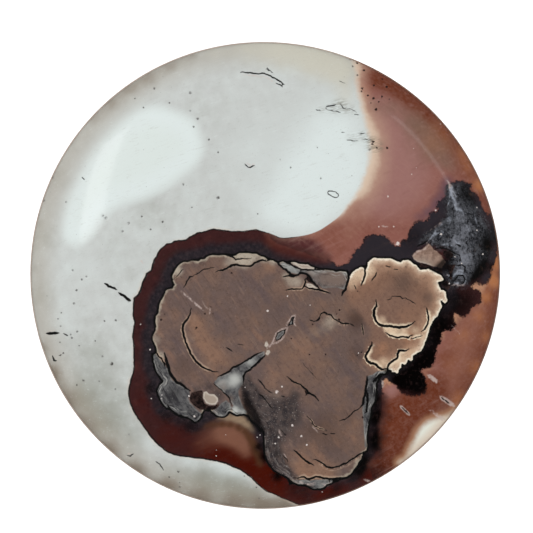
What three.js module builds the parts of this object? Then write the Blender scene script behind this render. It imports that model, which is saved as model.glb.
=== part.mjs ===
// A round cabochon of coffee bean jasper: one polished stone with a low dome on top, a narrow girdle
// wall that leans in slightly, a small bevel round the foot and a flat back that it rests on.
// Millimetres, +Z up, the dome facing up. The origin is the middle of the flat back.
// The light cap of grey-white chalcedony lies towards -X and +Y, the brown beans towards +X and -Y.

import * as THREE from "three";

// Driving dimensions
const girdleRadius = 17.6;      // mean radius at the widest line
const thickness = 5.6;          // flat back to the crown of the dome
const domeHeight = 3.7;         // how far the dome rises above the foot of its curve
const domeReach = 17.5;         // radius at which the dome's curve would stand upright
const domeFlatness = 2.4;       // 2 is a plain ellipse, larger is flatter on top with a rounder shoulder
const domeEndDegrees = 86;      // where the curve gives way to the girdle wall, 90 being upright
const backBevelHeight = 0.5;    // height of the bevel ground round the foot
const backBevelWidth = 0.55;    // how far the bevel cuts in under the girdle

// The stone is ground by hand, so its outline is a little out of round
const ovalReach = 0.055;        // half the difference between its longest and its shortest radius
const ovalDegrees = 8.7;        // direction of the longest radius
const cornerReach = 0.047;      // three very soft corners
const cornerDegrees = 14.8;     // direction of the first of them

// Fineness of the faceting
const roundSegments = 96;
const domeSteps = 17;

// The radius at one direction, as a share of the mean
function outOfRound(angle) {
  const oval = ovalReach * Math.cos(2 * (angle - THREE.MathUtils.degToRad(ovalDegrees)));
  const corners = cornerReach * Math.cos(3 * (angle - THREE.MathUtils.degToRad(cornerDegrees)));
  return 1 + (oval + corners) / girdleRadius;
}

// Half of the cross section, from the middle of the back, out round the girdle and up to the crown
function crossSection() {
  const points = [
    new THREE.Vector2(0, 0),
    new THREE.Vector2(girdleRadius - backBevelWidth, 0),
    new THREE.Vector2(girdleRadius, backBevelHeight),
  ];
  const domeFoot = thickness - domeHeight;
  const endAngle = THREE.MathUtils.degToRad(domeEndDegrees);
  for (let step = domeSteps; step > 0; step -= 1) {
    const angle = endAngle * step / domeSteps;
    const radius = domeReach * Math.pow(Math.sin(angle), 2 / domeFlatness);
    const height = domeFoot + domeHeight * Math.cos(angle);
    points.push(new THREE.Vector2(radius, height));
  }
  points.push(new THREE.Vector2(0, thickness));
  return points;
}

// The stone: the cross section turned about its axis, then drawn out of round and centred on its box
function stoneGeometry() {
  const geometry = new THREE.LatheGeometry(crossSection(), roundSegments);
  geometry.rotateX(Math.PI / 2);
  const position = geometry.attributes.position;
  for (let i = 0; i < position.count; i += 1) {
    const x = position.getX(i);
    const y = position.getY(i);
    const share = outOfRound(Math.atan2(y, x));
    position.setXY(i, x * share, y * share);
  }
  geometry.computeBoundingBox();
  const middle = geometry.boundingBox.getCenter(new THREE.Vector3());
  geometry.translate(-middle.x, -middle.y, 0);
  geometry.computeVertexNormals();
  return geometry;
}

const polishedJasper = new THREE.MeshStandardMaterial({
  color: new THREE.Color(0.52, 0.46, 0.42),
  roughness: 0.18,
  metalness: 0,
});

const cabochon = new THREE.Mesh(stoneGeometry(), polishedJasper);
cabochon.name = "cabochon";

const stone = new THREE.Group();
stone.add(cabochon);

export default stone;
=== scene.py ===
import math
import bpy
import numpy as np
from mathutils import Matrix, Vector, kdtree
from mathutils.geometry import delaunay_2d_cdt


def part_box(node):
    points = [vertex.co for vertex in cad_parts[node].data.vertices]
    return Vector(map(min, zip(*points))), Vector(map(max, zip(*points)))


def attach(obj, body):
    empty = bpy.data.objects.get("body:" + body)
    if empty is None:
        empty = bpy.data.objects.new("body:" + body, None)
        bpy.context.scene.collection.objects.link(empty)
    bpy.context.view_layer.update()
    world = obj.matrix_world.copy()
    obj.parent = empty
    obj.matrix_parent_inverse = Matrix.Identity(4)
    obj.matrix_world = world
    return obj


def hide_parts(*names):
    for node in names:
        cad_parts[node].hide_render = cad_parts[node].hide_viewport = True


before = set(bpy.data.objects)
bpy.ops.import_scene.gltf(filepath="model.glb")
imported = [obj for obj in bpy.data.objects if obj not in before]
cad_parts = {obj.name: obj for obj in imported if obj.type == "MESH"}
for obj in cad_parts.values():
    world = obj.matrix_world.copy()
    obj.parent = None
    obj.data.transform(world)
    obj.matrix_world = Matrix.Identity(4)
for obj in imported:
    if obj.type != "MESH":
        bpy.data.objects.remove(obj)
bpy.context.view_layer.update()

# The stone: one round cabochon of coffee bean jasper, sawn from a nodule, ground to a low dome on a
# dopping stick and polished all over its face. The back is left flat, with a small bevel round it.
# Every size in this section is in millimetres, seen from above, and the mesh is scaled to metres.
MM = 0.001
low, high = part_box("cabochon")
thickness = (high[2] - low[2]) / MM
girdle_radius = 17.6
dome_height = 3.7
dome_reach = 17.5
dome_flatness = 2.4
dome_end = math.radians(86)
bevel_height = 0.5
bevel_width = 0.55
dome_foot = thickness - dome_height

# The outline is ground by hand and a little out of round
oval_reach, oval_turn = 0.055, math.radians(8.7)
corner_reach, corner_turn = 0.047, math.radians(14.8)


def out_of_round(angle):
    oval = oval_reach * np.cos(2 * (angle - oval_turn))
    corners = corner_reach * np.cos(3 * (angle - corner_turn))
    return 1 + (oval + corners) / girdle_radius


turn = np.radians(np.arange(0, 360, 3.75))
girdle = girdle_radius * out_of_round(turn)
middle_x = (np.cos(turn) * girdle).max() / 2 + (np.cos(turn) * girdle).min() / 2
middle_y = (np.sin(turn) * girdle).max() / 2 + (np.sin(turn) * girdle).min() / 2


def paint(red, green, blue):
    """A colour given as it looks on screen, 0 to 255, made linear for the shader."""
    return tuple((c / 255) ** 2.2 for c in (red, green, blue)) + (1.0,)


def flow(points, closed=False, steps=4):
    """A smooth line through a few points."""
    points = np.array(points, float)
    if closed:
        before, after, last = np.roll(points, 1, 0), np.roll(points, -1, 0), np.roll(points, -2, 0)
        starts = points
    else:
        padded = np.vstack([2 * points[0] - points[1], points, 2 * points[-1] - points[-2]])
        before, starts, after, last = padded[:-3], padded[1:-2], padded[2:-1], padded[3:]
    line = []
    for a, b, c, d in zip(before, starts, after, last):
        for t in np.arange(steps) / steps:
            line.append(b + 0.5 * t * (c - a + t * (2 * a - 5 * b + 4 * c - d + t * (3 * (b - c) + d - a))))
    if not closed:
        line.append(points[-1])
    return np.array(line)


outlines = {}      # closed outlines of what is inlaid in the rock, by the attribute that carries them
patches = {}       # soft patches within a layer: x, y, reach, amount
fissures = []      # black hairlines: half width, reach of the pale edge (below 0 on the right), points
strokes_and_sheen = []     # pale strokes: half width, points

# The cap of grey-white chalcedony. Its right border is a soft beige fringe, and the rest of its edge
# lies against the dark rind, sharp as a knife.
cap_soft_edge = flow([
    (6.3, 17.6), (6.7, 15.4), (6.8, 14.2), (6.95, 13.4), (7.15, 12.5), (7.45, 11.6), (7.65, 10.8),
    (7.75, 9.6), (7.7, 8.4), (7.5, 7.6), (7.2, 6.9), (6.9, 6.3), (6.5, 5.7), (6.0, 5.0), (5.5, 4.4),
    (5.0, 4.0), (4.5, 3.65), (4.0, 3.35), (3.2, 3.05), (2.0, 2.85), (1.4, 2.8), (1.0, 2.85),
    (0.7, 3.0)])
cap_sharp_edge = np.array([
    (0.3, 3.15), (-0.3, 3.3), (-0.65, 3.42), (-1.1, 3.38), (-1.6, 3.3), (-2.5, 3.3), (-3.2, 3.38),
    (-3.95, 3.47), (-4.3, 3.35), (-4.6, 3.25), (-5.05, 3.2), (-5.25, 3.05), (-5.55, 2.92),
    (-5.95, 2.65), (-6.45, 2.6), (-6.8, 2.55), (-6.95, 2.42), (-7.35, 2.38), (-7.5, 2.2), (-7.75, 2.02),
    (-8.03, 1.7), (-8.1, 1.42), (-8.25, 1.2), (-8.4, 0.8), (-8.5, 0.35), (-8.85, 0.15), (-8.95, -0.15),
    (-9.15, -0.5), (-9.28, -1.05), (-9.45, -1.42), (-9.8, -1.68), (-9.85, -2.4), (-9.85, -3.0),
    (-9.75, -3.5), (-9.85, -4.2), (-9.9, -4.6), (-9.8, -5.2), (-9.8, -6.0), (-9.8, -6.8), (-9.87, -7.3),
    (-10.05, -7.9), (-10.2, -8.5), (-10.2, -9.0), (-10.1, -9.5), (-9.9, -10.0), (-9.6, -10.55),
    (-9.3, -11.0), (-8.95, -11.5), (-8.6, -12.0), (-8.0, -12.65), (-7.6, -13.0), (-7.2, -13.25),
    (-6.6, -13.45), (-6.0, -13.55), (-5.0, -13.65), (-4.0, -13.8), (-3.5, -13.9), (-3.0, -14.0),
    (-2.5, -14.25), (-1.9, -14.5), (-1.4, -14.85), (-1.0, -15.15), (-0.7, -15.5), (-0.3, -15.85),
    (0.1, -16.15), (0.6, -16.35), (1.2, -16.65), (1.7, -16.85), (2.2, -17.05), (3.2, -17.6)])
outlines["lens"] = flow([
    (14.9, -10.1), (13.9, -10.35), (12.9, -10.7), (12.2, -11.0), (11.7, -11.4), (11.35, -12.0),
    (11.1, -12.6), (10.8, -13.2), (10.5, -13.7), (10.1, -14.3), (12, -17), (17, -12)], closed=True)
outlines["milk"] = flow([
    (-5.0, 10.6), (-4.8, 9.5), (-5.1, 8.6), (-5.7, 8.0), (-6.4, 7.4), (-7.4, 6.7), (-8.5, 6.1),
    (-9.7, 5.7), (-10.8, 5.35), (-11.8, 4.8), (-12.5, 4.0), (-13.2, 3.0), (-14.2, 2.4), (-15.1, 2.9),
    (-15.3, 4.4), (-14.9, 6.2), (-14.1, 8.2), (-13.0, 9.9), (-11.5, 11.4), (-10.0, 12.3), (-8.3, 12.6),
    (-6.6, 12.1), (-5.5, 11.5)], closed=True)
patches["cap_pale"] =[
    (5.5, 8.0, 3.6, 0.9), (2.5, 6.0, 3.0, 0.6), (5.0, 11.5, 2.5, 0.4), (0.5, 4.6, 1.5, 0.4),
    (-1.5, 6.0, 1.2, 0.2), (2.9, 4.6, 1.5, 0.5), (-3.4, -14.4, 1.2, 0.8), (-1.9, -14.95, 0.7, 0.7),
    (-5.6, -14.0, 0.8, 0.5), (-8.8, -12.6, 0.9, 0.4), (-13.0, 0.5, 1.2, 0.3), (-14.8, 0.6, 0.6, 0.3),
    (-2.0, 9.0, 1.6, 0.25), (0.0, 11.0, 2.4, 0.2)]
# Patches along the rim of the cap, darker and browner: partly the stone's own rim tone, partly painted
# shade on the steep edge of the dome.
patches["cap_rim_tone_and_shade"] =[
    (-12.9, 12.0, 0.9, 0.5), (-11.6, 13.1, 0.9, 0.6), (-10.2, 14.1, 0.9, 0.6), (-8.8, 14.9, 0.9, 0.6),
    (-7.2, 15.8, 0.9, 0.6), (-5.6, 16.5, 0.8, 0.5), (-16.9, -5.4, 0.8, 0.8), (-16.1, -7.4, 1.0, 1.0),
    (-15.1, -9.4, 1.1, 1.0), (-13.7, -11.4, 1.1, 1.0), (-11.9, -13.2, 1.1, 1.0),
    (-9.8, -14.8, 1.1, 1.0), (-7.4, -16.0, 1.1, 1.0), (-5.0, -16.9, 1.1, 1.0), (-2.4, -17.3, 1.1, 1.0),
    (-0.2, -17.3, 1.0, 1.0), (1.5, -17.3, 0.9, 0.9), (-14.6, 10.3, 0.7, 0.4), (-16.9, 4.0, 0.5, 0.3),
    (-17.3, 0.5, 0.5, 0.3)]
patches["cap_khaki"] =[
    (-1.5, 17.2, 1.5, 0.5), (1.0, 17.0, 1.7, 0.8), (3.6, 16.2, 1.6, 0.9), (5.6, 15.4, 1.3, 0.9),
    (6.0, 13.4, 0.9, 0.5), (-3.8, 16.8, 1.0, 0.4), (-14.9, 11.0, 1.0, 0.4), (-15.9, 8.6, 1.0, 0.3)]
patches["cap_grey"] =[
    (-4.6, -15.5, 1.6, 0.9), (-2.2, -16.0, 1.3, 0.9), (-0.8, -16.6, 0.9, 0.7), (-7.0, -15.0, 1.3, 0.5),
    (-12.5, -8.2, 3.0, 0.5), (-11.0, -10.8, 2.0, 0.4), (-13.2, -5.2, 2.0, 0.3),
    (-9.8, -12.6, 1.4, 0.35), (-8.4, 4.9, 2.0, 0.35), (-11.5, 2.6, 1.5, 0.2), (-16.6, 3.0, 1.3, 0.4),
    (-13.8, -9.2, 1.2, 0.5), (-12.4, -11.2, 1.2, 0.5), (-16.8, -1.5, 1.2, 0.4), (-15.6, 7.4, 1.0, 0.4),
    (-4.8, 12.4, 2.2, 0.2), (-2.5, 4.6, 1.2, 0.15), (-10.3, 0.3, 1.6, 0.15)]
patches["no_fringe"] =[
    (0.6, 3.0, 1.5, 1.0), (2.2, 2.8, 1.2, 1.0), (3.4, 3.1, 0.9, 0.9), (4.3, 2.8, 0.9, 1.0),
    (1.4, 1.9, 1.2, 1.0), (5.1, 3.3, 0.9, 0.8), (6.0, 4.1, 0.9, 0.5), (6.8, 5.2, 0.8, 0.4),
    (8.2, 14.4, 1.4, 0.6), (8.3, 12.4, 1.2, 0.25)]

# The dark rind round the beans: iron-rich jasper, maroon where it meets the chalcedony and blue-black
# against the beans. To the right its edge is ragged, with little dendrites into the mauve host.
rind_edge =[
    (0.45, 2.8), (1.0, 2.45), (1.6, 2.2), (2.3, 1.95), (3.0, 1.75), (3.6, 1.5), (4.2, 1.3), (4.7, 1.15),
    (5.2, 0.95), (5.35, 0.75), (5.7, 0.78), (5.95, 0.85), (6.2, 1.0), (6.3, 1.25), (6.45, 1.45),
    (6.65, 1.7), (6.68, 1.95), (6.95, 2.02), (7.1, 2.25), (7.3, 2.45), (7.42, 2.85), (7.7, 2.98),
    (8.1, 3.1), (8.4, 3.03), (8.8, 3.0), (9.1, 2.8), (9.35, 2.6), (9.55, 2.35), (9.75, 2.22),
    (10.05, 2.2), (10.15, 2.45), (10.3, 2.65), (10.5, 2.6), (10.6, 2.9), (10.75, 3.2), (10.95, 3.6),
    (11.15, 3.95), (11.5, 4.1), (11.75, 4.15), (12.1, 4.08), (12.2, 4.35), (12.2, 4.65), (12.5, 4.75),
    (12.85, 4.75), (12.95, 5.0), (12.75, 5.15), (12.85, 5.45), (13.1, 5.6), (13.25, 5.85), (13.5, 6.0),
    (13.5, 6.4), (13.6, 6.75), (13.9, 7.0), (14.4, 7.12), (14.75, 7.1), (15.1, 6.95), (15.45, 6.9),
    (15.52, 6.7), (15.35, 6.55), (15.7, 6.2), (16.0, 5.85), (16.2, 5.5), (16.25, 5.05), (16.5, 4.8),
    (16.75, 4.55), (17.0, 4.62), (18.5, 4.4), (18.5, 2.6), (17.45, 2.3), (17.35, 1.5), (17.25, 0.95),
    (17.05, 0.6), (16.95, 0.3), (17.0, -0.1), (16.75, -0.3), (16.65, -0.6), (16.5, -0.72), (16.0, -0.7),
    (15.85, -0.45), (15.65, -0.6), (15.42, -0.82), (15.5, -0.98), (15.9, -1.05), (16.15, -1.3),
    (16.22, -1.5), (16.15, -1.9), (16.05, -2.2), (15.75, -2.3), (15.5, -2.4), (15.3, -2.75),
    (15.05, -3.0), (14.75, -3.12), (14.5, -2.95), (14.15, -2.85), (14.15, -3.25), (14.2, -3.45),
    (14.32, -3.7), (14.1, -4.0), (13.8, -4.15), (13.45, -4.1), (13.25, -4.3), (13.2, -4.7),
    (13.1, -5.1), (12.85, -5.4), (12.8, -5.9), (12.7, -6.4), (12.45, -6.85), (11.95, -6.95),
    (11.6, -7.15), (11.95, -7.6), (12.1, -8.1), (12.1, -8.5), (11.95, -8.8), (11.4, -9.0), (10.9, -9.0),
    (10.3, -8.9), (10.0, -8.6), (9.8, -8.3), (9.4, -8.0), (9.1, -7.75), (8.85, -7.7), (8.75, -8.3),
    (8.85, -9.0), (8.95, -9.6), (8.9, -10.3), (8.75, -11.0), (8.65, -11.7), (8.7, -12.5), (8.65, -13.2),
    (8.55, -13.55), (8.1, -13.85), (7.8, -14.15), (7.9, -14.5), (8.1, -15.1), (8.7, -16.2), (4.0, -24)]
patches["rind_black"] =[
    (5.0, -16.6, 0.8, 0.35), (3.2, -17.0, 0.7, 0.3), (8.4, -12.4, 0.9, 1.0), (8.3, -10.6, 0.8, 0.9),
    (13.2, -4.0, 1.6, 0.8), (12.2, -6.6, 1.6, 0.8), (11.4, -8.0, 1.2, 0.9), (10.0, -7.8, 0.8, 0.8),
    (14.8, -1.9, 1.4, 0.6), (11.0, 2.8, 1.2, 0.4), (17.3, 3.0, 0.8, 0.8), (2.2, -15.9, 0.7, 0.4),
    (0.0, -13.6, 0.5, 0.8), (0.9, -15.0, 0.5, 0.8), (7.4, -13.9, 0.6, 0.9), (-5.2, -11.3, 0.7, 0.3),
    (-6.0, -11.3, 0.8, 0.3), (-7.4, -10.6, 0.7, 0.4), (-8.6, -8.4, 0.5, 0.5), (15.0, 6.6, 0.6, 0.5),
    (17.0, 0.6, 0.4, 0.8), (-0.5, -12.8, 0.4, 0.7), (7.0, -14.7, 0.6, 0.8), (8.2, -9.2, 0.6, 0.8)]
patches["rind_blue"] =[
    (4.9, 0.9, 0.7, 0.8), (6.5, 1.3, 1.1, 1.0), (8.4, 2.3, 1.2, 1.0), (10.2, 1.9, 1.1, 1.0),
    (11.6, 3.3, 1.2, 1.0), (12.8, 4.8, 1.0, 1.0), (13.6, 6.2, 0.8, 1.0), (15.0, 6.8, 0.9, 1.0),
    (16.3, 5.2, 0.9, 1.0), (17.3, 3.4, 0.9, 0.9), (17.2, 1.4, 0.8, 0.8), (16.6, -0.2, 0.7, 0.8),
    (9.4, 2.7, 0.8, 0.7)]
patches["rind_tan"] =[
    (-3.3, -10.55, 0.35, 0.5), (-2.8, -10.6, 0.36, 0.8), (-2.2, -10.65, 0.38, 1.0),
    (-1.7, -10.85, 0.36, 1.0), (-1.3, -11.15, 0.34, 0.8), (-0.95, -11.55, 0.3, 0.5)]
patches["rind_arc"] =[
    (-4.4, -11.25, 0.4, 0.5), (-3.8, -11.15, 0.35, 0.7), (-3.2, -11.1, 0.32, 0.9),
    (-2.6, -11.15, 0.32, 0.9), (-2.0, -11.35, 0.32, 0.9), (-1.5, -11.7, 0.34, 0.9),
    (-1.15, -12.15, 0.36, 0.9), (-0.85, -12.7, 0.38, 0.9), (-0.6, -13.3, 0.4, 0.9),
    (-0.4, -14.0, 0.4, 0.8)]
patches["rind_pink"] =[
    (-3.4, -11.8, 0.9, 0.6), (-2.6, -11.7, 0.9, 1.0), (-1.8, -12.3, 0.8, 1.0), (-1.4, -13.2, 0.6, 0.6),
    (-4.6, -12.4, 0.9, 0.35), (0.5, 2.5, 0.6, 0.2)]
patches["rind_warm"] =[
    (-4.0, -13.2, 1.6, 0.7), (-1.2, -14.0, 1.3, 1.0), (0.6, -15.6, 1.2, 1.0), (3.0, -16.8, 2.0, 0.6),
    (6.0, -16.4, 1.2, 0.6), (-7.0, -12.0, 1.6, 0.5), (-9.2, -9.5, 1.2, 0.4), (-2.5, -12.6, 1.3, 0.5),
    (8.2, -12.0, 1.2, 0.3), (13.5, -3.5, 1.5, 0.2), (12.0, -7.2, 2.0, 0.3), (7.9, -15.0, 0.9, 0.8),
    (0.0, -15.1, 0.7, 0.9), (4.8, -16.9, 1.0, 0.8)]
patches["rind_soft"] =[
    (1.2, 2.4, 0.9, 1.0), (2.4, 2.1, 0.9, 1.0), (3.6, 1.7, 0.8, 0.9), (4.6, 1.3, 0.6, 0.7),
    (0.3, 2.9, 0.6, 0.6), (8.1, -14.6, 0.8, 1.0), (8.2, -15.6, 1.0, 1.0), (8.8, -13.4, 0.7, 1.0),
    (9.0, -12.2, 0.6, 1.0), (9.0, -11.2, 0.6, 1.0), (9.1, -10.2, 0.6, 1.0), (9.0, -9.2, 0.5, 0.8),
    (14.4, -3.4, 0.5, 0.4), (12.0, -8.8, 0.5, 0.4)]
patches["host_pink"] =[
    (10.0, 7.0, 2.6, 0.9), (9.8, 10.4, 2.6, 0.8), (8.6, 5.0, 1.2, 0.4), (8.8, 12.6, 1.4, 0.4),
    (15.0, -5.2, 0.9, 0.4), (9.5, -8.6, 0.7, 0.8), (14.4, -7.4, 0.9, 0.3), (7.4, 5.6, 1.0, 0.3)]
patches["host_red"] =[
    (8.6, 14.7, 0.9, 0.9), (10.0, 14.0, 0.9, 0.9), (11.2, 13.2, 0.8, 0.9), (12.4, 12.1, 0.7, 0.9),
    (13.5, 10.9, 0.6, 0.8), (14.4, 9.7, 0.5, 0.6), (12.6, -8.6, 1.3, 1.0), (11.2, -9.6, 1.2, 0.9),
    (10.2, -10.8, 1.3, 0.9), (9.6, -12.2, 1.2, 1.0), (9.3, -13.6, 1.1, 0.9), (8.8, -14.9, 1.2, 1.0),
    (13.6, -6.2, 0.9, 0.5), (16.9, -1.6, 0.8, 0.5), (5.6, 1.9, 0.9, 0.35), (2.2, 2.4, 0.8, 0.4),
    (9.6, -9.9, 0.8, 0.6), (12.2, -10.0, 0.8, 0.4), (7.6, -16.0, 1.0, 0.8)]
patches["host_orange"] =[
    (16.9, -0.2, 0.5, 0.8), (16.5, -1.6, 0.6, 0.7), (16.0, -3.0, 0.7, 0.5), (15.6, -1.3, 0.5, 0.6),
    (17.1, 1.4, 0.3, 0.8), (14.9, -4.6, 0.8, 0.35), (13.8, -6.6, 0.9, 0.3), (15.4, 8.2, 0.9, 0.4),
    (16.2, 6.8, 0.6, 1.0), (17.2, 2.9, 0.7, 0.9), (17.4, 0.9, 0.6, 0.9), (17.3, -0.6, 0.5, 0.7),
    (12.9, 10.4, 1.6, 0.35), (7.2, 13.8, 0.9, 0.3), (14.9, 9.2, 0.8, 0.3), (16.6, -4.6, 0.6, 0.5),
    (15.9, -6.9, 0.8, 0.5), (14.6, -9.4, 0.8, 0.6)]
patches["host_grey"] =[
    (13.0, 10.0, 1.9, 0.9), (11.4, 11.6, 1.3, 0.7), (9.4, 12.6, 1.1, 0.5), (8.4, 9.6, 0.8, 0.5),
    (8.0, 12.6, 0.7, 0.4), (13.6, 8.2, 0.9, 0.4), (12.9, 7.3, 0.8, -0.5), (13.2, -9.6, 0.9, 0.7)]
patches["host_brown"] =[
    (15.6, -3.4, 1.4, 0.8), (15.2, -6.0, 1.8, 0.8), (13.8, -8.4, 1.6, 0.7), (16.6, -1.4, 0.8, 0.8),
    (16.6, -3.6, 1.0, 0.7), (14.2, -5.0, 0.9, 0.4), (10.4, -9.6, 1.0, 0.4), (5.2, 2.6, 1.4, 0.3),
    (6.6, 3.4, 1.2, 0.2), (8.4, 4.2, 1.2, 0.2)]
patches["host_edge"] =[
    (15.3, -0.9, 0.7, 1.0), (14.2, -3.2, 0.5, 0.9), (13.2, -4.5, 0.5, 0.5), (12.2, -7.2, 0.6, 0.5),
    (16.2, -0.9, 0.5, 0.8), (9.1, -7.9, 0.5, 0.9), (16.3, -2.2, 0.4, 0.5)]
patches["host_ember"] =[
    (8.3, -14.8, 0.9, 0.9), (9.3, -13.9, 0.8, 0.4), (7.2, -15.6, 0.8, 0.9), (9.6, -12.5, 0.6, 0.3),
    (9.4, -10.6, 0.4, 0.5), (16.3, -5.6, 0.5, 0.3)]
patches["host_dusk"] =[
    (1.2, 2.7, 0.6, 1.0), (2.2, 2.5, 0.7, 1.0), (3.2, 2.2, 0.7, 0.9), (4.0, 1.9, 0.6, 0.6),
    (4.8, 1.5, 0.5, 0.4), (0.7, 2.9, 0.4, 0.8)]
patches["smudge"] =[
    (8.0, 9.9, 0.6, 0.8), (8.5, 9.5, 0.5, 0.7), (6.5, 10.3, 0.6, 0.5), (7.4, 10.6, 0.4, 0.5),
    (5.2, 12.5, 0.7, 0.6), (6.3, 12.4, 0.5, 0.6), (4.2, 12.4, 0.4, 0.4), (5.7, 13.0, 0.4, 0.4)]
patches["mass_haze"] = [(12.6, 6.0, 1.2, 1.0), (13.2, 7.2, 0.8, 0.9), (11.6, 4.8, 0.9, 0.7)]
outlines["mass"] =[
    (13.55, 6.5), (13.9, 6.85), (14.7, 6.9), (15.2, 6.6), (15.6, 6.0), (15.95, 5.3), (16.1, 4.6),
    (16.6, 4.2), (17.0, 3.2), (17.0, 2.0), (16.8, 1.0), (16.5, 0.2), (16.0, -0.35), (15.2, -0.75),
    (14.6, -0.85), (13.7, -0.75), (13.4, 0.2), (13.6, 1.9), (12.6, 2.05), (12.1, 2.45), (11.6, 2.55),
    (11.4, 2.25), (11.75, 2.75), (12.3, 3.4), (13.0, 3.95), (13.4, 4.6), (13.45, 5.6)]
# The pale amounts here paint the reflected fan below the glint at the top of the dark mass; the dark
# amounts are the stone's own darker streaks.
patches["mass_tone_and_sheen"] =[
    (14.2, 5.4, 0.4, 1.0), (14.5, 4.5, 0.5, 0.8), (14.9, 3.6, 0.6, 0.5), (15.0, 1.2, 0.9, 1.0),
    (14.0, 6.3, 0.4, 1.0), (12.9, 4.4, 0.7, -0.7), (12.3, 3.6, 0.6, -0.6), (13.5, 5.3, 0.4, -0.5),
    (16.4, 0.8, 0.8, -1.0), (16.1, -0.3, 0.7, -1.1), (16.7, 2.2, 0.6, -0.9), (15.4, -0.5, 0.5, -0.7),
    (13.4, 3.0, 0.5, -0.3), (15.0, 6.2, 0.9, -0.8), (14.4, 0.2, 0.5, 0.7), (14.9, -0.5, 0.5, 0.6),
    (14.3, 2.5, 0.6, 0.8), (13.2, 3.3, 0.9, 0.4), (12.4, 2.6, 0.5, 0.3), (16.6, 3.0, 0.8, -0.5),
    (16.2, 0.2, 0.6, -0.5), (15.9, 5.6, 0.5, -0.6), (15.2, 3.2, 0.7, 0.4), (13.7, 1.2, 0.5, -0.9),
    (13.9, 0.2, 0.4, -0.9), (14.1, -0.6, 0.4, -0.7), (12.6, 4.2, 0.6, -0.3)]

# The beans: taupe chert nodules that shrank, broke and were healed again. One outline runs round the
# whole cluster, and everything below is inlaid in it.
outlines["beans"] =[
    (-7.0, -0.1), (-6.9, 0.25), (-6.7, 0.6), (-6.4, 0.9), (-6.05, 1.1), (-5.8, 1.05), (-5.4, 1.15),
    (-5.0, 1.15), (-4.8, 1.3), (-4.55, 1.3), (-4.3, 1.5), (-4.0, 1.6), (-3.4, 1.55), (-3.05, 1.6),
    (-2.5, 1.55), (-2.2, 1.55), (-2.0, 1.7), (-1.7, 1.75), (-1.0, 1.7), (-0.6, 1.7), (-0.4, 1.5),
    (0.0, 1.4), (0.25, 1.25), (0.6, 1.2), (0.85, 1.05), (1.1, 1.05), (1.35, 1.1), (1.6, 0.95),
    (1.9, 1.05), (2.4, 1.0), (2.8, 0.9), (3.2, 0.9), (3.4, 0.75), (3.8, 0.6), (4.1, 0.45), (4.6, 0.5),
    (5.0, 0.45), (5.2, 0.35), (5.6, 0.4), (6.15, 0.3), (6.2, -0.1), (6.35, 0.1), (6.45, 0.25),
    (6.7, 0.47), (7.0, 0.65), (7.4, 0.72), (7.48, 0.5), (7.55, 0.75), (7.6, 1.0), (7.8, 1.2),
    (8.1, 1.4), (8.4, 1.35), (8.7, 1.3), (9.1, 1.35), (9.5, 1.3), (9.9, 1.1), (10.1, 1.05), (10.3, 1.2),
    (10.7, 1.22), (10.95, 1.15), (11.15, 0.9), (11.4, 0.78), (11.6, 0.5), (11.9, 0.52), (12.2, 0.55),
    (12.6, 0.35), (12.9, 0.25), (13.2, 0.05), (13.35, -0.15), (13.4, -0.35), (13.2, -0.5),
    (12.98, -0.55), (13.1, -0.8), (13.2, -1.0), (13.4, -1.0), (13.55, -1.2), (13.6, -1.5),
    (13.72, -1.8), (13.6, -2.05), (13.38, -2.2), (13.18, -1.95), (13.28, -2.35), (13.1, -2.75),
    (12.95, -3.1), (12.7, -3.25), (12.5, -3.6), (12.35, -4.0), (12.25, -4.4), (12.1, -4.8),
    (11.9, -5.3), (11.75, -5.7), (11.4, -5.85), (11.1, -6.05), (11.08, -6.35), (10.87, -6.5),
    (10.7, -6.36), (10.62, -6.62), (10.4, -6.76), (10.25, -6.66), (10.22, -6.95), (10.03, -7.08),
    (10.06, -7.3), (9.85, -7.43), (9.66, -7.28), (9.5, -7.33), (9.36, -7.15), (9.15, -7.1),
    (9.05, -7.35), (8.7, -7.45), (8.55, -7.7), (8.3, -8.1), (8.35, -8.7), (8.3, -9.2), (8.15, -9.6),
    (7.95, -9.9), (7.9, -10.5), (7.8, -11.0), (7.7, -11.6), (7.65, -12.2), (7.7, -12.7), (7.6, -13.1),
    (7.35, -13.35), (7.25, -13.7), (7.05, -14.0), (6.9, -14.35), (6.7, -14.55), (6.5, -14.85),
    (6.2, -15.1), (5.9, -15.2), (5.6, -15.25), (5.4, -15.4), (5.0, -15.55), (4.6, -15.7), (4.4, -15.95),
    (4.0, -16.05), (3.5, -16.0), (3.2, -15.8), (3.0, -15.7), (2.5, -15.7), (2.1, -15.55), (1.85, -15.6),
    (1.95, -15.4), (1.55, -15.1), (1.1, -14.85), (0.7, -14.65), (0.4, -14.3), (0.15, -13.9),
    (0.0, -13.5), (-0.1, -13.1), (-0.1, -12.5), (-0.1, -11.7), (-0.3, -11.5), (-0.6, -11.2),
    (-1.0, -10.9), (-1.3, -10.45), (-1.6, -10.4), (-2.2, -10.45), (-2.65, -10.2), (-2.8, -10.4),
    (-3.1, -10.6), (-3.6, -10.55), (-3.9, -10.3), (-4.1, -10.1), (-4.5, -10.05), (-4.7, -10.35),
    (-4.75, -10.6), (-5.0, -10.9), (-5.25, -11.0), (-5.6, -10.75), (-5.9, -10.6), (-6.3, -10.55),
    (-6.7, -10.35), (-7.0, -10.05), (-7.35, -9.95), (-7.7, -9.6), (-7.85, -9.3), (-8.05, -8.95),
    (-8.1, -8.6), (-7.95, -8.2), (-7.65, -7.95), (-7.65, -7.85), (-8.0, -7.5), (-8.25, -7.0),
    (-8.4, -6.4), (-8.4, -5.9), (-8.2, -5.75), (-8.15, -5.6), (-8.3, -5.2), (-8.45, -4.8),
    (-8.45, -4.5), (-8.25, -4.15), (-8.2, -3.8), (-8.3, -3.4), (-8.2, -3.0), (-8.0, -2.7),
    (-7.95, -2.2), (-7.85, -1.85), (-7.6, -1.5), (-7.5, -1.15), (-7.35, -1.0), (-6.95, -0.9),
    (-6.85, -0.7), (-6.95, -0.4)]
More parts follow.
